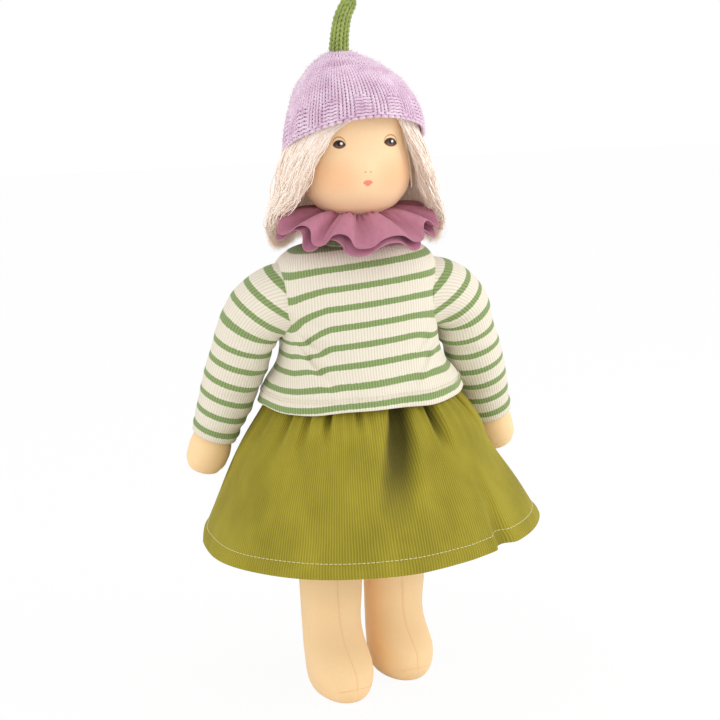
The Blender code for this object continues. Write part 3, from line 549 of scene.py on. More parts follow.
def make_leg(name, side, finish, thread):
    """A leg with its foot, drawn in along the seam down its front and the short seam under the toes."""
    level = np.linspace(0.0, 1.0, 150)[:, None]
    s = np.linspace(-1.0, 1.0, 121)[None, :]
    turn = FRONT + math.pi * (0.30 * s + 0.70 * s ** 3)
    points = leg_surface(side, level, turn, leg_swell(side, level, turn))
    leg = add_surface("leg_jersey_" + name, points, finish, outward=True)
    # Two lines of thread lie in the seams: one down the front, one across under the toes
    level = np.linspace(0.40, 0.885, 80)
    down = leg_surface(side, level, FRONT, leg_swell(side, level, FRONT) + SEAM_RISE)
    spread = np.linspace(-0.62, 0.62, 40)
    level = 0.885 - 0.012 * np.cos(spread * 2.2)
    across = leg_surface(side, level, FRONT + spread, leg_swell(side, level, FRONT + spread) + SEAM_RISE)
    lines = []
    for path in (down, across):
        steps = np.linspace(0.0, len(path) - 1.0, 80)
        even = np.stack([np.interp(steps, np.arange(len(path)), path[:, i]) for i in range(3)], axis=-1)
        lines.append(even)
    paths = np.stack(lines)
    radii = SEAM_RADIUS * held(np.minimum(np.arange(80), np.arange(80)[::-1]) / 2.0)
    threads = tubes(paths, radii, 6, np.array((0.0, -1.0, 0.2)))
    seam = add_surface("leg_seam_" + name, threads, thread, wrap=True)
    return leg, seam


def arm_line(before, length, steps):
    """Middle line of an arm: straight out of the armhole, round the bend, then down and outwards."""
    bend = math.pi / 2.0 - ARM_SLOPE
    at = np.linspace(-before, ELBOW_RADIUS * bend + length, steps)
    turned_by = np.clip(at / ELBOW_RADIUS, 0.0, bend)
    beyond = np.maximum(at - ELBOW_RADIUS * bend, 0.0)
    x = (ARMHOLE_HALF_WIDTH + np.minimum(at, 0.0) + ELBOW_RADIUS * np.sin(turned_by)
         + beyond * math.sin(ARM_SLOPE))
    z = SHOULDER_HEIGHT - ELBOW_RADIUS * (1.0 - np.cos(turned_by)) - beyond * math.cos(ARM_SLOPE)
    points = joined(x, np.zeros_like(x), z)
    along = joined(np.cos(turned_by), np.zeros_like(x), -np.sin(turned_by))
    return points, along, beyond, at


def arm_surface(side, points, along, across, depth, turn):
    """Ovals square to the arm's line, leaned back about the shoulder, on the doll's left or right."""
    outward = joined(-along[:, 2], along[:, 1], along[:, 0])
    forward = np.array((0.0, 1.0, 0.0))
    ring = (points[:, None, :] + (np.cos(turn) * across)[..., None] * outward[:, None, :]
            + (np.sin(turn) * depth)[..., None] * forward)
    y, z = ring[..., 1], ring[..., 2] - SHOULDER_HEIGHT
    cosine, sine = math.cos(ARM_BACK_LEAN), math.sin(ARM_BACK_LEAN)
    return joined(side * ring[..., 0], y * cosine - z * sine, SHOULDER_HEIGHT + y * sine + z * cosine)


def make_arm(name, side, finish):
    """A stuffed arm with a mitten hand: wrist, full palm and a rounded tip."""
    total = SLEEVE_LENGTH + HAND_LENGTH
    points, along, beyond, _ = arm_line(ARMHOLE_HALF_WIDTH - 0.0480, total, 120)
    cuff = SLEEVE_LENGTH / total
    rest = 1.0 - cuff
    marks = np.array((0.0, 0.45 * cuff, cuff, cuff + 0.2 * rest, cuff + 0.5 * rest, cuff + 0.78 * rest,
                      cuff + 0.94 * rest, 1.0))
    widths = np.array((0.0172, 0.0164, 0.0126, 0.0146, 0.0152, 0.0128, 0.0074, 0.0)) * 0.985
    across = eased(beyond / total, marks, widths)
    depth = across * np.interp(beyond / total, (0.0, cuff, 1.0), (1.0, 0.97, 0.80))
    across[0] = depth[0] = 0.0
    turn = np.linspace(0.0, TURN, 49)[None, :]
    knuckles = bell(beyond[:, None] / total, cuff + 0.45 * rest, 0.05)
    crease = 1.0 - 0.03 * bell(turned(turn, 0.0), 0.0, 0.5) * knuckles
    surface = arm_surface(side, points, along, across[:, None] * crease, depth[:, None], turn)
    return add_surface("arm_jersey_" + name, surface, finish, outward=True)


def make_torso(finish):
    """The stuffed trunk under the clothes, closed at its foot and drawn in to the neck."""
    shares = ((0.0, 0.0, 0.0), (0.0, 0.66, 0.62), (0.05, 0.89, 0.86), (0.14, 0.99, 0.985),
              (0.35, 1.0, 1.0), (0.58, 0.985, 0.96), (0.78, 0.97, 0.90), (0.89, 0.86, 0.79),
              (0.96, 0.62, 0.66), (1.0, 0.44, 0.559))
    bottom, height = HIP_HEIGHT + THIGH_RADIUS + 0.0003, 0.1166
    table = np.array([(bottom + height * z, 0.0470 * x, 0.0370 * y) for z, x, y in shares])
    (level, width, depth), _ = along_profile(table, 60)
    turn = np.linspace(0.0, TURN, 73)
    x, y = oval(turn[None, :], width[:, None], depth[:, None], 2.35)
    return add_surface("torso_jersey", joined(x, y, np.broadcast_to(level[:, None], x.shape)), finish,
                       outward=True)


# Clothes

def sweater_profile(steps):
    """Levels of the sweater with half width, half depth and squareness, from hem to neck opening."""
    rows = [(0.0, 0.0725, 0.0580, 2.2), (0.10, 0.0680, 0.0555, 2.2), (0.24, 0.0580, 0.0476, 2.3),
            (0.39, 0.0540, 0.0432, 2.5), (0.52, 0.0538, 0.0411, 2.7), (0.66, 0.0540, 0.0400, 2.8),
            (0.80, 0.0542, 0.0380, 2.7), (0.89, 0.0528, 0.0352, 2.6), (0.955, 0.0470, 0.0318, 2.5),
            (0.99, 0.0380, 0.0285, 2.4), (1.0, 0.0253, 0.0253, 2.4)]
    table = [(SWEATER_HEM + (SWEATER_TOP - SWEATER_HEM) * r[0],) + r[1:] for r in rows]
    (level, width, depth, squareness), at = along_profile(np.array(table), steps)
    return level, width, depth, squareness, at


def hem_swell(level, turn):
    """How far the sweater's hem waves in and out below its wave's top."""
    low = held((HEM_WAVE_TOP - level) / HEM_WAVE_FALL)
    return 0.0012 * low * np.sin(7.0 * turn + 0.9) + 0.0009 * low * np.sin(12.0 * turn + 2.0)


def make_sweater(finish):
    """Front and back of the sweater: the profile's ovals, pushed in and out by the pull of the arms.

    Under each arm creases fan from the armhole, the chest swells a little between them, and the hem rolls
    and waves.  The cloth's own width runs from the middle of the front or back, and its stripes sag beside
    the armholes and climb to the doll's left.
    """
    level, width, depth, squareness, at = sweater_profile(140)
    pieces = []
    for name, first in (("back", 0.0), ("front", math.pi)):
        turn = np.linspace(first, first + math.pi, 221)[None, :]
        x, y = oval(turn, width[:, None], depth[:, None], squareness[:, None])
        shoulder = bell(level, 0.283, 0.024)[:, None] * held(np.abs(x) / 0.03 - 0.4)
        x = x + shoulder * np.where(x < 0.0, -0.0070, -0.0012)
        steps = [np.diff(line, axis=1, prepend=line[:, :1]) for line in (x, y)]
        walked = np.cumsum(np.hypot(*steps), axis=1)
        walked = walked - walked[:, 110:111]
        z = np.broadcast_to(level[:, None], x.shape)
        face = -1.0 if name == "front" else 1.0
        push = np.zeros_like(x)
        sag = 0.090 * x * np.clip((z - 0.200) / 0.05, 0.2, 1.0)
        drag = held((np.abs(x) - 0.028) / 0.024) ** 1.4 * bell(z, 0.262, 0.032)
        sag = sag - np.where(x < 0.0, 0.0080, 0.0035) * drag
        for side, strength in ((1.0, 0.6), (-1.0, 1.0)):
            for reach, fall, deep in ((0.013, 0.95, 0.0042), (0.024, 1.6, 0.0030), (0.004, 0.40, 0.0022)):
                start_x, start_z = side * 0.0500, 0.270 - reach * 0.5
                run = (side * (start_x - x)).clip(0.0)
                line = start_z - fall * run + 9.0 * run ** 2
                near = bell(run, 0.006, 0.013) * strength
                push = push - deep * bell(z, line, 0.0038) * near
                push = push + 0.7 * deep * bell(z, line - 0.0066, 0.0042) * near
                sag = sag - 0.9 * deep * bell(z, line - 0.002, 0.006) * near
        push = push + 0.0015 * bell(x, 0.0, 0.030) * bell(z, 0.262, 0.030)
        push = (push + hem_swell(z, turn)) * held(np.abs(y) / 0.012)
        y = y + face * push
        side_lift = 0.0022 * (x / SWEATER_HEM_HALF_WIDTH) * held((0.250 - z) / 0.04)
        points = joined(x, y, z + side_lift - 0.0012 * held((0.225 - z) / 0.015) * np.sin(5.0 * turn + 0.5))
        cloth = joined(walked, z - sag)
        hole = (np.abs(x) > 0.044) & (np.hypot(y, z - SHOULDER_HEIGHT) < 0.0185)
        piece = add_surface("sweater_" + name + "_knit", points, finish, cloth, keep=~hole, solid=KNIT_WALL)
        pieces.append(piece)
    return pieces


def make_hem(thread):
    """Topstitching above the sweater's hem: two rows of short threads that follow the rolled edge."""
    level, width, depth, squareness, _ = sweater_profile(400)
    part = np.linspace(-0.5, 0.5, 5)
    rows = []
    for rise in (0.0075, 0.0091):
        row = int(np.searchsorted(level, SWEATER_HEM + rise))
        turn = (np.arange(150)[:, None] + 0.62 * part) * TURN / 150
        out = 0.0004 + 0.0003 * (1.0 - (2.0 * part) ** 2)
        x, y = oval(turn, width[row] + out, depth[row] + out, squareness[row])
        y = y + np.sign(y) * hem_swell(level[row], turn) * held(np.abs(y) / 0.012)
        wave = 0.0012 * (0.225 - level[row]) / 0.015 * np.sin(5.0 * turn + 0.5)
        z = level[row] + 0.0022 * x / SWEATER_HEM_HALF_WIDTH - wave
        rows.append(joined(x, y, z))
    paths = np.concatenate(rows)
    facing = unit(paths * np.array((1.0, 1.0, 0.0)))
    radii = STITCH_RADIUS * np.array((0.4, 1.0, 1.0, 1.0, 0.4))
    return add_surface("sweater_hem_stitches", tubes(paths, radii, 5, facing), thread, wrap=True, weld=False)


def make_sleeve(name, side, finish):
    """A set-in sleeve: ovals along the arm's line from the armhole, slack at the bend, hemmed at the cuff.

    Its stripes lie square to the arm below the bend, and keep to 57 degrees from level above it, as cloth
    does that was knitted straight.
    """
    points, along, beyond, at = arm_line(0.0060, SLEEVE_LENGTH, 130)
    bend_end = ELBOW_RADIUS * (math.pi / 2.0 - ARM_SLOPE)
    marks = (at[0], bend_end * 0.30, bend_end, bend_end + SLEEVE_LENGTH * 0.5, at[-1])
    width = eased(at, marks, (0.0226, 0.0224, 0.0212, 0.0200, 0.0160))
    depth = eased(at, marks, (0.0256, 0.0236, 0.0209, 0.0197, 0.0160))
    turn = np.linspace(0.0, TURN, 121)[None, :]
    share = ((at - at[0]) / (at[-1] - at[0]))[:, None]
    inner = 0.5 - 0.5 * np.cos(turn)
    slack = np.zeros((len(at), turn.size))
    for place, size, lean in ((0.25, 0.0014, 0.05), (0.36, 0.0015, -0.04), (0.48, 0.0010, 0.06),
                              (0.61, 0.0009, -0.05), (0.76, 0.0010, 0.04), (0.87, 0.0009, -0.03)):
        middle = place + lean * np.sin(turn + side)
        crease = bell(share, middle, 0.035) - 0.8 * bell(share, middle + 0.05, 0.028)
        slack = slack + size * crease * (0.25 + 0.75 * inner)
    hem = 0.0006 * bell(share, 0.955, 0.015) - 0.0004 * bell(share, 0.925, 0.008)
    height = 0.0036 if side > 0.0 else 0.0060
    crown = held(np.cos(turn)) * (height * bell(share, 0.0, 0.17)
                                  - 0.0020 * max(side, 0.0) * bell(share, 0.36, 0.18))
    lift = slack * held((share - 0.08) / 0.10) + hem + crown
    surface = arm_surface(side, points, along, width[:, None] + lift, depth[:, None] + lift, turn)
    steady = np.array((math.cos(math.radians(57.0)), 0.0, -math.sin(math.radians(57.0))))
    end = points[np.searchsorted(at, bend_end)]
    outward = joined(-along[:, 2], along[:, 1], along[:, 0])
    sideways = np.cos(turn) * (width * (outward @ steady))[:, None]
    flat = bend_end + ((points - end) @ steady)[:, None] + sideways
    keep = held((bend_end * 1.35 - at) / bend_end)[:, None]
    keep = keep * keep * (3.0 - 2.0 * keep)
    cloth = joined(turn * SLEEVE_FLAT_RADIUS, at[:, None] * (1.0 - keep) + flat * keep)
    return add_surface("sleeve_" + name + "_knit", surface, finish, cloth, outward=True, solid=KNIT_WALL)


# Valleys between the skirt's folds: turn in degrees, depth below the waist, depth at the hem, half width in
# degrees, how many degrees the valley's top lies to the doll's left of its foot, and the shares of the way
# down between which it goes from the one depth to the other
VALLEYS = ((-172, 0.004, 0.0, 6, 0, 0.1, 0.8), (-148, 0.007, 0.0, 4, 0, 0.1, 0.6),
           (-132, 0.006, 0.0, 3, 0, 0.1, 0.5), (-118, 0.0125, 0.0, 3.0, 0, 0.1, 0.34),
           (-99, 0.0060, 0.0, 2.4, 0, 0.1, 0.28), (-93, 0.0155, 0.0, 6.8, 16, 0.34, 0.90),
           (-74, 0.0030, 0.001, 6.0, 9, 0.35, 0.90), (-60, 0.0145, 0.0, 3.6, 0, 0.15, 0.46),
           (-48.5, 0.0, 0.006, 2.8, 0, 0.55, 1.0), (-31, 0.0080, 0.0, 2.6, 0, 0.1, 0.35),
           (-17, 0.0100, 0.0, 2.8, 0, 0.1, 0.38), (-4, 0.006, 0.002, 4, 0, 0.1, 0.8),
           (16, 0.007, 0.006, 5, 0, 0.1, 0.9), (37, 0.006, 0.004, 6, 0, 0.1, 0.9),
           (58, 0.008, 0.008, 5, 0, 0.1, 0.9), (80, 0.007, 0.005, 6, 0, 0.1, 0.9),
           (101, 0.008, 0.007, 5, 0, 0.1, 0.9), (124, 0.006, 0.005, 6, 0, 0.1, 0.9),
           (146, 0.008, 0.006, 5, 0, 0.1, 0.9), (166, 0.006, 0.001, 5, 0, 0.1, 0.9))


def valley_depth(share, turn):
    """How far the skirt's cloth lies in from its folds: exp(-|x|^3) across each valley, times its depth."""
    total = 0.0 * share * turn
    for middle, high, low, width, drift, first, last in VALLEYS:
        fade = held((share - first) / (last - first))
        deep = held(share / 0.15) * (high + (low - high) * fade)
        reach = math.radians(width) * (0.75 + 0.50 * share)
        off = turned(turn, np.radians(middle + drift * (1.0 - share))) / reach
        total = total + deep * np.exp(-np.abs(off) ** 3)
    return total


def skirt_surface(share, turn, lift=0.0):
    """Points of the skirt at a share of the way down and a turn.

    An oval that widens downwards, less the valleys' depth.  Small gathers run out below the waist, the
    doll's left front stands out further, and the hem dips in front and on the doll's right.
    """
    marks, spread = (0.0, 0.12, 0.23, 0.42, 0.62, 0.82, 1.0), (0.0, 0.15, 0.27, 0.49, 0.68, 0.86, 1.0)
    wide = eased(share, marks, spread)
    x, y = oval(turn, 0.0505 + 0.0665 * wide, 0.0408 + 0.0592 * wide, 2.5 - 0.5 * wide)
    out = 0.0020 * share * np.sin(3.0 * turn + 0.6) + 0.0012 * share * np.sin(5.0 * turn + 2.1)
    out = out + bell(turned(turn, math.radians(-30.0)), 0.0, 0.62) * (
        0.0085 * bell(share, 0.27, 0.17) + 0.0105 * held((share - 0.45) / 0.55))
    out = out + 0.0035 * bell(turned(turn, math.radians(-165.0)), 0.0, 0.5) * bell(share, 0.45, 0.25)
    out = out - valley_depth(share, turn)
    gather = held(1.0 - share / 0.45)
    out = out + 0.0013 * gather * np.sin(58.0 * turn + 3.0 * np.sin(4.0 * turn))
    out = out + 0.0005 * np.sin(9.0 * turn + 14.0 * share) * share + lift
    out = out + 0.0009 * bell(share, 0.965, 0.030) - 0.0006 * bell(share, 0.922, 0.008)
    x, y = x + np.cos(turn) * out, y + np.sin(turn) * out
    dip = 0.0035 * held(-np.sin(turn)) ** 2 - 0.0045 * np.cos(turn)
    z = WAIST_HEIGHT - (WAIST_HEIGHT - SKIRT_HEM) * share - dip * share ** 2
    return joined(x, y, z)


# Turns in degrees between the front gores, from the middle to each side seam, and the share of its height
# that each gore keeps when the thigh is raised
GORE_MARKS = (("left", (-93, -62, -42, -27, -13, 0)), ("right", (-93, -118, -132, -148, -164, -180)))
GORE_KEEPS = (0.05, 0.18, 0.38, 0.60, 0.82)


def make_gore(name, first, last, finish):
    """One gore of the skirt between two turns in degrees.

    The first and last column and the last row are narrow, so that the shading turns only at the very edge.
    """
    inner = np.linspace(first + 0.05, last - 0.05, int(abs(last - first) * (1.6 if first == 0 else 3.2)) + 2)
    turn = np.radians(np.concatenate(((first,), inner, (last,))))[None, :]
    share = np.concatenate((np.linspace(0.0, 0.999, 84), (1.0,)))[:, None]
    cloth = joined(turn * SKIRT_FLAT_RADIUS, share * (WAIST_HEIGHT - SKIRT_HEM))
    points = skirt_surface(share, turn)
    gore = add_surface(name, points[:, ::-1], finish, cloth[:, ::-1], weld=False, solid=CORD_WALL)
    # How deep each point lies in a valley, which the corduroy darkens as painted shade
    mark_fold_shade(gore, held((valley_depth(share, turn) - 0.0028) / 0.0085)[:, ::-1])
    return gore


def make_stitches(name, first, last, finish, pitch=3.0):
    """Topstitching above the skirt's hem: a short thread for each stitch, ends dipped into the cloth."""
    turns = np.radians(np.linspace(first, last, 2000))
    line = skirt_surface(np.full(2000, TOPSTITCH_SHARE), turns, 0.0002)
    walked = np.concatenate(([0.0], np.cumsum(np.linalg.norm(np.diff(line, axis=0), axis=1))))
    count = int(walked[-1] * 1000.0 / pitch)
    middle = (np.arange(count) + 0.5) * walked[-1] / count
    part = np.linspace(-0.5, 0.5, 6)
    at = np.interp(middle[:, None] + part * 0.0025, walked, turns)
    out = 0.0001 + 0.0003 * (1.0 - (2.0 * part) ** 4)
    paths = skirt_surface(np.full_like(at, TOPSTITCH_SHARE), at, out)
    radii = STITCH_RADIUS * np.array((0.4, 1.0, 1.0, 1.0, 1.0, 0.4))
    facing = joined(np.cos(at), np.sin(at), np.zeros_like(at))
    return add_surface(name, tubes(paths, radii, 6, facing), finish, wrap=True, weld=False)


def make_ruffle(name, finish, extra, drop, late):
    """Gathered collar: a ring that leaves the neck under the chin and falls outwards in eleven soft folds.

    The folds' height and reach are cosines of the turn, whose own pace wanders so that no two are alike;
    a sine of twice the turn moves the cloth sideways, which makes a fold steeper than a wave.  The front
    falls lower than the sides.
    """
    share = np.linspace(0.0, 1.0, 40)[:, None]
    turn = np.linspace(0.0, TURN, 721)[None, :]
    phase = (11.0 * turn + 0.80 * np.sin(2.0 * turn + 0.9) + 0.95 * np.sin(3.0 * turn + 0.4 + late)
             + 2.6 + late)
    size = 0.0057 + 0.0010 * np.sin(2.0 * turn + 1.0) + 0.0008 * np.sin(5.0 * turn + late)
    open_out = share ** 0.6 * (1.30 - 0.55 * share)
    front = held(-np.sin(turn)) ** 1.5
    reach = 0.0566 + extra + 0.0016 * np.sin(4.0 * turn + 0.7) - 0.0016 * front
    reach = reach - 0.0060 * held(np.sin(turn) + 0.15)
    radius = 0.0215 + (reach - 0.0215) * share - 0.0034 * open_out * np.cos(phase)
    sideways = 0.030 * open_out * np.sin(2.0 * phase) + 0.020 * open_out * np.sin(phase + 1.0)
    level = (0.3372 + 0.0008 * np.sin(math.pi * share) - (0.0040 + 0.0110 * front) * share ** 1.3
             - drop * share)
    level = level + size * open_out * np.cos(phase)
    level = level + 0.0007 * np.sin(44.0 * turn + 2.0 * np.sin(3.0 * turn)) * bell(share, 0.10, 0.14)
    x, y = np.cos(turn + sideways) * radius, np.sin(turn + sideways) * radius
    cloth = joined(turn * RUFFLE_FLAT_RADIUS, share * RUFFLE_WIDTH)
    ruffle = add_surface(name, joined(x, y, level), finish, cloth, weld=False, solid=VOILE_WALL)
    # How deep each point lies in a fold near the neck, which the voile darkens as painted shade
    mark_fold_shade(ruffle, (0.5 - 0.5 * np.cos(phase)) ** 2 * held(1.15 - share))
    return ruffle


def make_band(name, finish, radius, wall, low, high, ribs=0.0):
    """A low ring of cloth with rounded edges, its section carried round the neck or waist."""
    turn = np.linspace(0.0, TURN, 241)[:, None]
    s = np.linspace(0.0, TURN, 25)[None, :]
    half_x, half_y = radius
    out, up = oval(s, wall / 2.0, (high - low) / 2.0, 5.0)
    pleat = ribs * np.sin(90.0 * turn)
    x = np.cos(turn) * (half_x - wall / 2.0 + out + pleat)
    y = np.sin(turn) * (half_y - wall / 2.0 + out + pleat)
    z = (low + high) / 2.0 + up + 0.0 * x
    cloth = joined(turn * half_x, z)
    return add_surface(name, joined(x, y, z), finish, cloth, outward=True)


# Knitting

def knitted_courses(place, columns, course, purl, radius, samples=12, sides=6):
    """One closed round of yarn for each course.

    Over a stitch t runs a full turn.  Along the round the yarn is at t + 0.95 sin 2t of the stitch's
    width, up and down it is -0.62 cos t of the course's height, and in and out -0.75 mm cos 2t, which a
    purl stitch turns over.
    """
    t = np.linspace(0.0, TURN * columns, samples * columns, endpoint=False)
    stitch = t / TURN
    along = (stitch + 0.95 * np.sin(2.0 * t) / TURN) / columns
    up = course + 0.62 * -np.cos(t)
    sign = purl(stitch / columns, course)
    facing_out = -np.cos(2.0 * t) * sign * min(1.0, radius / 0.0009)
    path = place(along, up, 0.00075 * facing_out)
    outward = unit(place(along, up, 0.001 + 0.0 * t) - place(along, up, 0.0 * t))
    return tubes(path[None], np.full((1, len(t)), radius), sides, outward[None], closed=True)[0]


def add_yarn(name, rounds, finish):
    """All rounds of yarn as one mesh; each round is a ring of rings joined both ways."""
    points, faces, start = [], [], 0
    for ring in rounds:
        count, sides = ring.shape[:2]
        corner = start + np.arange(count * sides).reshape(count, sides)
        ahead, beside = np.roll(corner, -1, axis=0), np.roll(corner, -1, axis=1)
        faces.append(joined(corner, beside, np.roll(ahead, -1, axis=1), ahead).reshape(-1, 4))
        points.append(ring.reshape(-1, 3))
        start += count * sides
    mesh = bpy.data.meshes.new(name)
    mesh.from_pydata(np.concatenate(points), [], np.concatenate(faces))
    mesh.shade_smooth()
    mesh.materials.append(finish)
    piece = bpy.data.objects.new(name, mesh)
    bpy.context.scene.collection.objects.link(piece)
    return piece


CAP_COURSES = 26
CAP_HEIGHT, CAP_RADIUS, YARN_SINK = 0.0634, 0.0490, 0.0016
# Shares of that height with shares of that radius
CAP_TABLE = np.array(((0.0, 1.0), (0.20, 0.968), (0.42, 0.880), (0.632, 0.748), (0.76, 0.602),
                      (0.867, 0.442), (0.955, 0.252), (1.0, 0.100)))
# Groups of courses up the cap: the first course above the group, its stitches round, its yarn's radius
CAP_GROUPS = ((18, 60, 0.00096), (22, 40, 0.00100), (25, 20, 0.00100), (CAP_COURSES, 10, 0.0009))
CAP_BAND_COURSES = 11


def cap_place(along, course, out):
    """A point of the cap: turn as a share, course from the brim, and distance out from the yarn's middle.

    Radius and height follow the cap's profile by distance; the brim's own height is added at the foot and
    fades to nothing at the top, and the cap leans a little to the doll's right.
    """
    heights, radii = CAP_TABLE[:, 0] * CAP_HEIGHT, CAP_TABLE[:, 1] * CAP_RADIUS - YARN_SINK
    marks = np.concatenate(([0.0], np.cumsum(np.hypot(np.diff(heights), np.diff(radii)))))
    at = held((course + 0.4) / (CAP_COURSES + 0.3)) * marks[-1]
    radius, height = eased(at, marks, radii), eased(at, marks, heights)
    rise, spread = (eased(at, marks, np.gradient(values, marks)) for values in (heights, radii))
    slope = np.arctan2(rise, -spread)
    turn = along * TURN + FRONT
    front = (1.0 - np.sin(turn)) / 2.0
    brim = CAP_SIDE_BRIM - 0.0080 + 0.0290 * front ** 1.6 + 0.0022 * np.cos(turn)
    share = height / CAP_HEIGHT
    z = brim + (CAP_TOP - YARN_SINK - brim) * share + out * np.cos(slope)
    ripple = 0.0005 * np.sin(9.0 * turn + 1.0) * (1.0 - share)
    radius = radius + out * np.sin(slope) + ripple
    x = np.cos(turn) * radius - 0.0092 * share ** 2.2
    return joined(x, np.sin(turn) * radius, z)


def cap_purl(share, course):
    """Plain stitches are 1 and purl ones -1: thirteen blocks of purl with plain between, above the edge."""
    if course < 1.0:
        return np.where(np.round(course) % 2 == 0, -1.0, 1.0) * np.ones_like(share)
    if course > 6.5:
        return np.ones_like(share)
    block = np.sin(TURN * 13.0 * (share + 0.031))
    return -np.clip((block - 0.1) * 9.0, -1.0, 1.0)


def make_cap(yarn, shade_finish):
    """The knitted cap: 60 stitches round, fewer near its top, over a thin dark inner face that is painted
    shade in the gaps between stitches.
    """
    low, high = [], []
    for course in range(CAP_COURSES):
        columns, radius = next(group[1:] for group in CAP_GROUPS if course < group[0])
        ring = knitted_courses(cap_place, columns, float(course), cap_purl, radius)
        (low if course < CAP_BAND_COURSES else high).append(ring)
    band, top = add_yarn("cap_band_knit", low, yarn), add_yarn("cap_top_knit", high, yarn)
    turn = np.linspace(0.0, 1.0, 97)[None, :]
    course = np.linspace(-0.3, CAP_COURSES - 0.1, 60)[:, None]
    inner = cap_place(turn, course, -0.0009)
    inner[-1] = inner[-1].mean(axis=0)
    base = add_surface("cap_inner_face", inner, shade_finish, outward=True, solid=0.0004)
    return band, top, base


def stem_line(share):
    """Middle line of the stem: up from the cap, a lean to the doll's right, and a nod back at its tip."""
    x = eased(share, (0.0, 0.35, 0.66, 0.88, 1.0), (-0.0090, -0.0078, -0.0050, -0.0004, 0.0030))
    z = eased(share, (0.0, 0.35, 0.66, 0.88, 1.0), (0.4452, 0.4575, 0.4690, 0.4768, 0.4793))
    return x, z


def stem_place(along, course, out):
    """A point of the knitted cord, on a circle square to its middle line that narrows to the tip."""
    share = held((course + 0.4) / 11.4)
    x, z = stem_line(share)
    ahead_x, ahead_z = stem_line(held(share + 0.01))
    behind_x, behind_z = stem_line(held(share - 0.01))
    lean = np.arctan2(ahead_x - behind_x, ahead_z - behind_z)
    radius = 0.0050 * eased(share, (0.0, 0.2, 0.66, 0.9, 1.0), (1.08, 1.0, 0.86, 0.66, 0.25)) + out
    turn = along * TURN
    across = np.cos(turn) * radius
    return joined(x + across * np.cos(lean), np.sin(turn) * radius, z - across * np.sin(lean))


def make_stem(yarn, shade_finish):
    """The knitted cord on the cap: seven stitches round, eleven courses, and a dark core that is painted
    shade between its stitches.
    """
    plain = lambda share, course: np.ones_like(share)
    rounds = [knitted_courses(stem_place, 7, float(course), plain, 0.00105) for course in range(11)]
    stem = add_yarn("cap_stem_knit", rounds, yarn)
    turn = np.linspace(0.0, 1.0, 33)[None, :]
    course = np.linspace(-0.3, 11.0, 40)[:, None]
    core = stem_place(turn, course, -0.0008)
    core[0], core[-1] = core[0].mean(axis=0), core[-1].mean(axis=0)
    return stem, add_surface("cap_stem_core", core, shade_finish, outward=True)


# Hair

def head_reach(level):
    """Half width of the head at a level, as wide as its cheeks below them."""
    share = np.clip((level - CHIN_HEIGHT) / HEAD_HEIGHT, 0.26, 1.0)
    return HEAD_HALF_WIDTH * eased(share, (0.26, 0.38, 0.47, 0.58, 0.70, 0.836, 0.915, 0.975, 1.0),
                                   (1.0, 0.985, 0.965, 0.965, 0.935, 0.755, 0.55, 0.29, 0.02))


def fall_radius(level, depth):
    """Distance of a fall's hair from the middle: over the head, then out to hang outside the collar."""
    share = (0.3967 - level) / 0.089
    marks = (-0.4, 0.0, 0.22, 0.36, 0.52, 0.66, 0.78, 0.90, 1.05)
    spread = eased(share, marks, (0.0, 0.04, 0.12, 0.18, 0.30, 0.62, 0.95, 1.0, 1.0))
    wall = eased(share, marks, (0.12, 0.35, 0.90, 1.15, 1.20, 1.05, 0.75, 0.65, 0.50))
    return head_reach(level) + 0.0020 + 0.0162 * spread + 0.0080 * wall * depth


# Turns in degrees of each fall's front edge at these levels, from above the brim down to the ends
EDGE_LEVELS = (0.305, 0.320, 0.335, 0.348, 0.366, 0.384, 0.397, 0.4025, 0.410)
EDGES = {"hair_right": (-204.0, -198.0, -180.0, -158.0, -143.0, -130.0, -115.0, -103.0, -95.0),
         "hair_left": (8.0, 2.0, -12.0, -27.0, -36.0, -45.0, -53.0, -58.0, -62.0),
         "hair_back": (29.0,) * 9}


def fall_turn(name, level, share, back):
    """Turn of hair at a level, at a share of the way from the fall's front edge to its back one."""
    edge = np.radians(eased(level, EDGE_LEVELS, EDGES[name]))
    return edge + (math.radians(back) - edge) * share


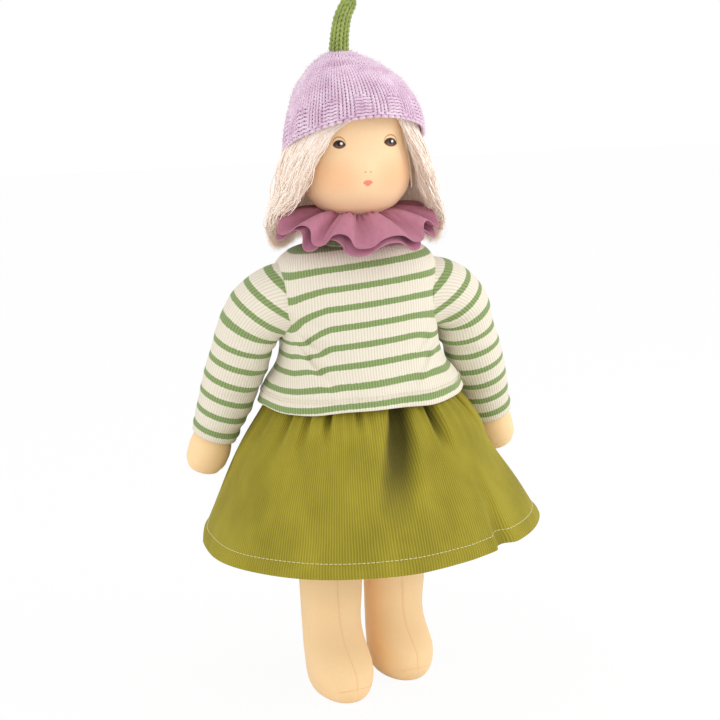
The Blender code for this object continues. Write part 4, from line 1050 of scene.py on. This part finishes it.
def make_fall(name, finish, seed, count, back, root_levels, foot):
    """A fall of mohair: thin ribbons of fibres down the head's side, in locks that wave and part.

    Each strand keeps its share between the fall's two edges, drawn towards its lock's middle further down
    and swung by the lock's wave; one in nine strays further out, crosses its neighbours and ends sooner.
    """
    rng = np.random.default_rng(seed)
    share = rng.uniform(0.0, 1.0, count)
    locks = 17
    lock = np.clip((share * locks + rng.normal(0.0, 0.25, count)).astype(int), 0, locks - 1)
    middle = ((np.arange(locks) + 0.5 + rng.uniform(-0.3, 0.3, locks)) / locks)[lock][:, None]
    stray = (rng.uniform(0.0, 1.0, count) < 0.11)[:, None]
    depth = (rng.uniform(0.0, 1.0, count) ** 0.7)[:, None]
    steps = 18
    t = np.linspace(0.0, 1.0, steps)[None, :]
    top = np.interp(share, np.linspace(0.0, 1.0, len(root_levels)), root_levels)
    top = top + rng.uniform(-0.003, 0.003, count)
    low = foot + rng.uniform(0.0, 0.008, locks)[lock]
    low = low + rng.uniform(0.0, 0.012, count) * rng.uniform(0.0, 1.0, count)
    low = low + stray[:, 0] * rng.uniform(0.0, 0.018, count)
    level = top[:, None] + (low - top)[:, None] * t
    drawn = share[:, None] + (middle - share[:, None]) * (0.20 + 0.40 * t) * t * np.where(stray, 0.2, 1.0)
    turn = fall_turn(name, level, drawn, back)
    phase = rng.uniform(0.0, TURN, locks)[lock][:, None] + rng.normal(0.0, 0.5, (count, 1))
    length = rng.uniform(0.018, 0.036, locks)[lock][:, None] * rng.uniform(0.85, 1.15, (count, 1))
    wave = np.sin(level / length * TURN + phase)
    turn = turn + wave * (0.010 + 0.066 * t ** 1.4) + rng.normal(0.0, 0.016, (count, 1)) * t
    turn = turn + np.where(stray, rng.normal(0.0, 0.10, (count, 1)) * t ** 1.3, 0.0)
    lift = depth + np.where(stray, rng.uniform(0.0, 0.8, (count, 1)) ** 2 * t, 0.0)
    radius = fall_radius(level, lift)
    radius = radius + (0.0004 + 0.0017 * t) * np.cos(level / length * TURN + 1.7 * phase)
    radius = radius + 0.0012 * bell(t, 1.0, 0.16) * np.sin(5.0 * phase) - 0.0030 * t ** 4
    paths = joined(np.cos(turn) * radius, np.sin(turn) * radius * 0.985, level)
    return add_ribbons(name + "_mohair", paths, 0.00024 * rng.uniform(0.55, 1.35, (count, 1)),
                       rng.uniform(-0.7, 0.7, (count, 1)), held(0.5 + rng.normal(0.0, 0.35, count)), finish)


def add_ribbons(name, paths, half_width, twist, tone, finish):
    """Strands as flat ribbons that taper at both ends, each with a tone of its own.

    A ribbon lies square to the way out from the head's middle line, turned about itself by its twist.
    """
    count, steps = paths.shape[:2]
    tangent = unit(np.gradient(paths, axis=1))
    outward = unit(paths * np.array((1.0, 1.0, 0.0)))
    across = unit(np.cross(tangent, outward))
    other = np.cross(tangent, across)
    across = np.cos(twist)[..., None] * across + np.sin(twist)[..., None] * other
    taper = np.minimum(np.minimum(np.linspace(0.4, 6.4, steps), np.linspace(5.0, 0.0, steps)), 1.0)
    half = (half_width * taper)[..., None] * across
    hair = add_surface(name, np.stack((paths - half, paths + half), axis=2), finish, weld=False)
    layer = hair.data.attributes.new("lock", "FLOAT", "POINT")
    layer.data.foreach_set("value", np.repeat(tone, steps * 2).astype(np.float32))
    return hair


def make_under_fall(name, finish, back, foot):
    """The thick inside of a fall, a closed sheet a little within its strands."""
    level = np.linspace(0.398, foot, 40)[:, None]
    share = np.linspace(0.07, 0.93 if name != "hair_back" else 1.0, 48)[None, :]
    turn = fall_turn(name, level, share, back)
    radius = fall_radius(level, 0.22) + 0.0005 * np.sin(60.0 * share + 30.0 * level)
    points = joined(np.cos(turn) * radius, np.sin(turn) * radius * 0.985, level + 0.0 * turn)
    return add_surface(name + "_inside", points, finish, solid=0.0016)


def make_wig_base(finish):
    """The knitted base under the hair: over the head to the falls' front edges and down to the nape."""
    level = 0.353 + (0.4392 - 0.353) * np.linspace(0.0, 1.0, 50)[:, None] ** 0.8
    share = np.linspace(0.0, 1.0, 97)[None, :]
    first = np.radians(eased(level, EDGE_LEVELS, EDGES["hair_left"]) + 7.0)
    last = np.radians(eased(level, EDGE_LEVELS, EDGES["hair_right"]) + 353.0)
    turn = first + (last - first) * share
    radius = head_reach(level) + 0.0006
    points = joined(np.cos(turn) * radius, np.sin(turn) * radius * 0.975, level + 0.0 * turn)
    return add_surface("wig_base_knit", points, finish, solid=0.0008)


def make_fuzz(name, finish, seed, count):
    """Loose fibres that stand out of the cap's wool: short, fine and curled, all over it."""
    rng = np.random.default_rng(seed)
    along, course = rng.uniform(0.0, 1.0, (count, 1)), CAP_COURSES * rng.uniform(0.0, 0.97, (count, 1))
    t = np.linspace(0.0, 1.0, 5)[None, :]
    reach = rng.uniform(0.0006, 0.0026, (count, 1))
    swing = rng.normal(0.0, 0.010, (count, 1)) * t ** 1.5
    swing = swing + rng.normal(0.0, 0.004, (count, 1)) * np.sin(4.0 * t)
    climb = rng.normal(0.0, 0.35, (count, 1)) * t ** 1.5
    points = np.empty((count, 5, 3))
    for number in range(count):
        points[number] = cap_place(along[number] + swing[number], course[number, 0] + climb[number],
                                   0.0009 + reach[number] * t[0])
    return add_ribbons(name, points, np.full((count, 1), 0.00007), rng.uniform(-1.5, 1.5, (count, 1)),
                       rng.uniform(0.0, 1.0, count), finish)


def make_crown(name, finish, seed, count):
    """Hair that lies over the head under the cap, combed from the top down to where the falls begin."""
    rng = np.random.default_rng(seed)
    start = rng.uniform(0.0, TURN, count)[:, None]
    steps = 14
    first = rng.uniform(0.0, 0.35, (count, 1))
    share = first + (1.0 - first) * np.linspace(0.0, 1.0, steps)[None, :]
    front = held(-np.sin(start))
    end_level = 0.388 + 0.018 * front ** 3
    level = 0.4405 - (0.4405 - end_level) * (1.0 - np.cos(share * 1.42)) / (1.0 - math.cos(1.42))
    turn = start + 0.10 * np.sin(5.0 * start) * share
    room = np.clip((0.4380 - level) / 0.022, 0.15, 1.0)
    radius = head_reach(level) + room * (0.0014 + 0.0010 * rng.uniform(0.0, 1.0, (count, 1)))
    paths = joined(np.cos(turn) * radius, np.sin(turn) * radius * 0.98, level)
    return add_ribbons(name, paths, np.full((count, 1), 0.00075), rng.uniform(-0.4, 0.4, (count, 1)),
                       rng.uniform(0.2, 0.8, count), finish)


# Making, placing and naming every piece

def settle(piece, body, nodes=()):
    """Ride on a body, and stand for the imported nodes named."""
    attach(piece, body)
    if nodes:
        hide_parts(*nodes)


def make_body():
    """Head, trunk, arms and legs."""
    skin = jersey("peach_cotton_jersey", "#F9D3A0", "#FDDFAE", "#F7CF99")[0]
    seam_thread = spun_thread("seam_thread", "#EDC08D", "#F4CE9F")
    head = make_head(painted_face())
    settle(head, "head", ("head_skin",))
    trunk = make_torso(skin)
    settle(trunk, "torso", ("torso_skin",))
    for name, side in SIDES:
        leg, seam = make_leg(name, side, skin, seam_thread)
        settle(leg, "leg_" + name, ("leg_skin_" + name,))
        settle(seam, "leg_" + name)
        arm = make_arm(name, side, skin)
        settle(arm, "arm_" + name, ("arm_skin_" + name,))


def make_clothes():
    """Sweater, skirt and collar."""
    knit = striped_rib("striped_rib_knit_cotton", 0.2143 + 0.0002)
    sleeve_knit = striped_rib("striped_rib_knit_sleeve", 0.0045)
    cord = corduroy()
    voile = plum_voile()
    stitch_thread = spun_thread("hem_thread", "#CFC88C", "#E6E0B2")
    cream_thread = spun_thread("cream_thread", "#D8CDB4", "#EFE6D2")
    back, front = make_sweater(knit)
    for piece, node in ((back, "sweater_back"), (front, "sweater_front")):
        settle(piece, "torso", (node,))
    settle(make_hem(cream_thread), "torso")
    band = make_band("sweater_neckband_knit", knit, (0.0235, 0.0235), 0.0022, 0.3130, 0.3190)
    settle(band, "torso", ("sweater_neckband",))
    for name, side in SIDES:
        sleeve = make_sleeve(name, side, sleeve_knit)
        settle(sleeve, "arm_" + name, ("sleeve_" + name,))
    gores = [("skirt_back_cord", 0, 180, None, 1.0)]
    for name, marks in GORE_MARKS:
        for number, keep in enumerate(GORE_KEEPS):
            ends = sorted(marks[number:number + 2])
            gores.append(("skirt_front_%s_%d" % (name, number + 1), ends[0], ends[1], "hip_" + name, keep))
    for name, first, last, joint, keep in gores:
        gore = make_gore(name, first, last, cord)
        stitches = make_stitches(name + "_stitches", first, last, stitch_thread)
        node = "skirt_back" if joint is None else "skirt_front"
        settle(gore, "torso", (node,))
        settle(stitches, "torso")
        if joint:
            for piece in (gore, stitches):
                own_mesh(piece)
    upper = make_ruffle("collar_ruffle_upper", voile, 0.0, 0.0, 0.0)
    under = make_ruffle("collar_ruffle_under", voile, -0.0010, 0.0052, 0.9)
    settle(upper, "torso", ("collar_ruffle",))
    settle(under, "torso")
    neck = make_band("collar_neck_band", voile, (0.0223, 0.0223), 0.0022, 0.3193, 0.3345, 0.0003)
    settle(neck, "torso", ("collar_band",))


def make_cap_and_hair():
    """Knitted cap with its stem, and the mohair under it."""
    lilac = wool_yarn("lilac_wool_yarn", "#D8AECC", "#F5DEEE")
    green = wool_yarn("green_wool_yarn", "#76892B", "#A2B349")
    # Darker wool finishes for the sheets under the cap's and stem's yarn: painted shade in the gaps between
    # stitches
    dark_lilac = spun_thread("cap_inner_painted_shade", "#9C6E92", "#B488A8")
    dark_green = spun_thread("stem_core_painted_shade", "#67762A", "#7D8D38")
    band, top, base = make_cap(lilac, dark_lilac)
    stem, core = make_stem(green, dark_green)
    settle(band, "cap", ("cap",))
    settle(top, "cap")
    settle(base, "cap")
    settle(stem, "cap", ("cap_stem",))
    settle(core, "cap")
    settle(make_fuzz("cap_loose_fibres", lilac, 21, 2200), "cap")
    hair = mohair()
    base = make_wig_base(spun_thread("knitted_wig_base", "#E4D2BA", "#F4E8D6", 900.0))
    settle(base, "head", ("wig_base",))
    falls = (("hair_right", 11, 5600, -230.0, (0.410, 0.402, 0.398, 0.396), 0.3065),
             ("hair_left", 12, 5200, 50.0, (0.410, 0.402, 0.398, 0.396), 0.3090),
             ("hair_back", 13, 4600, 151.0, (0.397, 0.397), 0.3070))
    for name, seed, count, back, levels, foot in falls:
        strands = make_fall(name, hair, seed, count, back, levels, foot)
        under = make_under_fall(name, hair, back, foot + 0.016)
        settle(strands, "head", (name,))
        settle(under, "head")
    crown = make_crown("hair_top_mohair", hair, 14, 2600)
    settle(crown, "head", ("hair_top",))


def finish_hidden_nodes():
    """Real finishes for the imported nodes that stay: wool inside head, trunk and limbs, thread, elastic."""
    wool = spun_thread("carded_sheep_wool", "#CFC3A4", "#EFE7D2", 500.0)
    linen = spun_thread("waxed_linen_thread", "#C4AC85", "#DCC8A6", 1600.0)
    elastic = spun_thread("woven_white_elastic", "#DEDCD4", "#F4F3EE", 1200.0)
    for name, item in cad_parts.items():
        node = bpy.data.objects.get(name) if isinstance(item, (str, dict)) else item
        chosen = wool if "filling" in name else {"neck_thread": linen, "waist_elastic": elastic}.get(name)
        if chosen is not None and node is not None:
            for place in node.material_slots:
                place.material = chosen


def seen_share(tree):
    """One for rays that come from the camera, a mirror or a glass, and zero for the light's own."""
    path = add_node(tree, "ShaderNodeLightPath")
    camera, glossy, through = (path.outputs["Is %s Ray" % kind]
                               for kind in ("Camera", "Glossy", "Transmission"))
    return most(tree, camera, most(tree, glossy, through))


def point(name, data, right, up, forward, place):
    """A lamp or camera at a place, which looks forward."""
    holder = bpy.data.objects.new(name, data)
    bpy.context.scene.collection.objects.link(holder)
    axes = np.eye(4)
    axes[:3] = np.stack((right, up, -forward, place), axis=-1)
    holder.matrix_world = Matrix(axes.tolist())
    return holder


# Lamps: place, side and power
LAMPS = (("window", (1.40, -0.60, 1.00), 1.0, 11.5), ("low", (-0.60, -1.4, 0.55), 1.2, 2.5),
         ("wall", (-1.40, -0.30, 0.80), 1.0, 4.0))
LAMP_TARGET = np.array((0.0, 0.0, 0.24))
CAMERA_DISTANCE, CAMERA_HEIGHT = 1.1, 0.4717
FLOOR_HALF_SIDE = 4.0


def make_stage():
    """White floor, even soft light from a white room, three large lamps, and the camera."""
    floor_finish, tree, shader = new_finish("white_paper_floor", Roughness=0.9)
    shader.inputs["Base Color"].default_value = linear("#F8F8F7")
    seen = seen_share(tree)
    white = add_node(tree, "ShaderNodeEmission", None, {"Color": (1.0, 1.0, 1.0, 1.0), "Strength": 1.0})
    blend = add_node(tree, "ShaderNodeMixShader", None, {0: times(tree, seen, 0.94),
                                                         1: shader.outputs[0], 2: white.outputs[0]})
    tree.links.new(blend.outputs[0], tree.nodes["Material Output"].inputs["Surface"])
    corner = np.array((-1.0, 1.0)) * FLOOR_HALF_SIDE
    points = joined(corner[None, :], corner[:, None], 0.0)
    floor = add_surface("floor", points, floor_finish, weld=False)

    world = bpy.data.worlds.new("white_room")
    bpy.context.scene.world = world
    world.use_nodes = True
    room = world.node_tree
    seen = seen_share(room)
    strength = add_node(room, "ShaderNodeMapRange", None, {"Value": seen, "To Min": 0.84, "To Max": 1.0})
    background = room.nodes["Background"]
    background.inputs["Color"].default_value = (1.0, 1.0, 1.0, 1.0)
    room.links.new(strength.outputs[0], background.inputs["Strength"])

    for name, place, size, power in LAMPS:
        lamp = bpy.data.lights.new(name, "AREA")
        lamp.size, lamp.energy = size, power
        forward = unit(LAMP_TARGET - np.array(place))
        right = unit(np.cross(forward, (0.0, 0.0, 1.0)))
        point(name, lamp, right, np.cross(right, forward), forward, place)

    azimuth, pitch, roll = math.radians(-13.0), math.radians(12.25), math.radians(-1.5)
    lens = bpy.data.cameras.new("camera")
    lens.lens, lens.sensor_width = 80.7, 36.0
    ahead = math.cos(pitch)
    forward = np.array((-math.sin(azimuth) * ahead, math.cos(azimuth) * ahead, -math.sin(pitch)))
    right = np.array((math.cos(azimuth), math.sin(azimuth), 0.0))
    up = np.cross(right, forward)
    right, up = (math.cos(roll) * right + math.sin(roll) * up, math.cos(roll) * up - math.sin(roll) * right)
    place = (CAMERA_DISTANCE * math.sin(azimuth), -CAMERA_DISTANCE * math.cos(azimuth), CAMERA_HEIGHT)
    bpy.context.scene.camera = point("camera", lens, right, up, forward, place)
    bpy.context.scene.view_settings.view_transform = "Standard"


make_stage()
make_body()
make_clothes()
make_cap_and_hair()
finish_hidden_nodes()
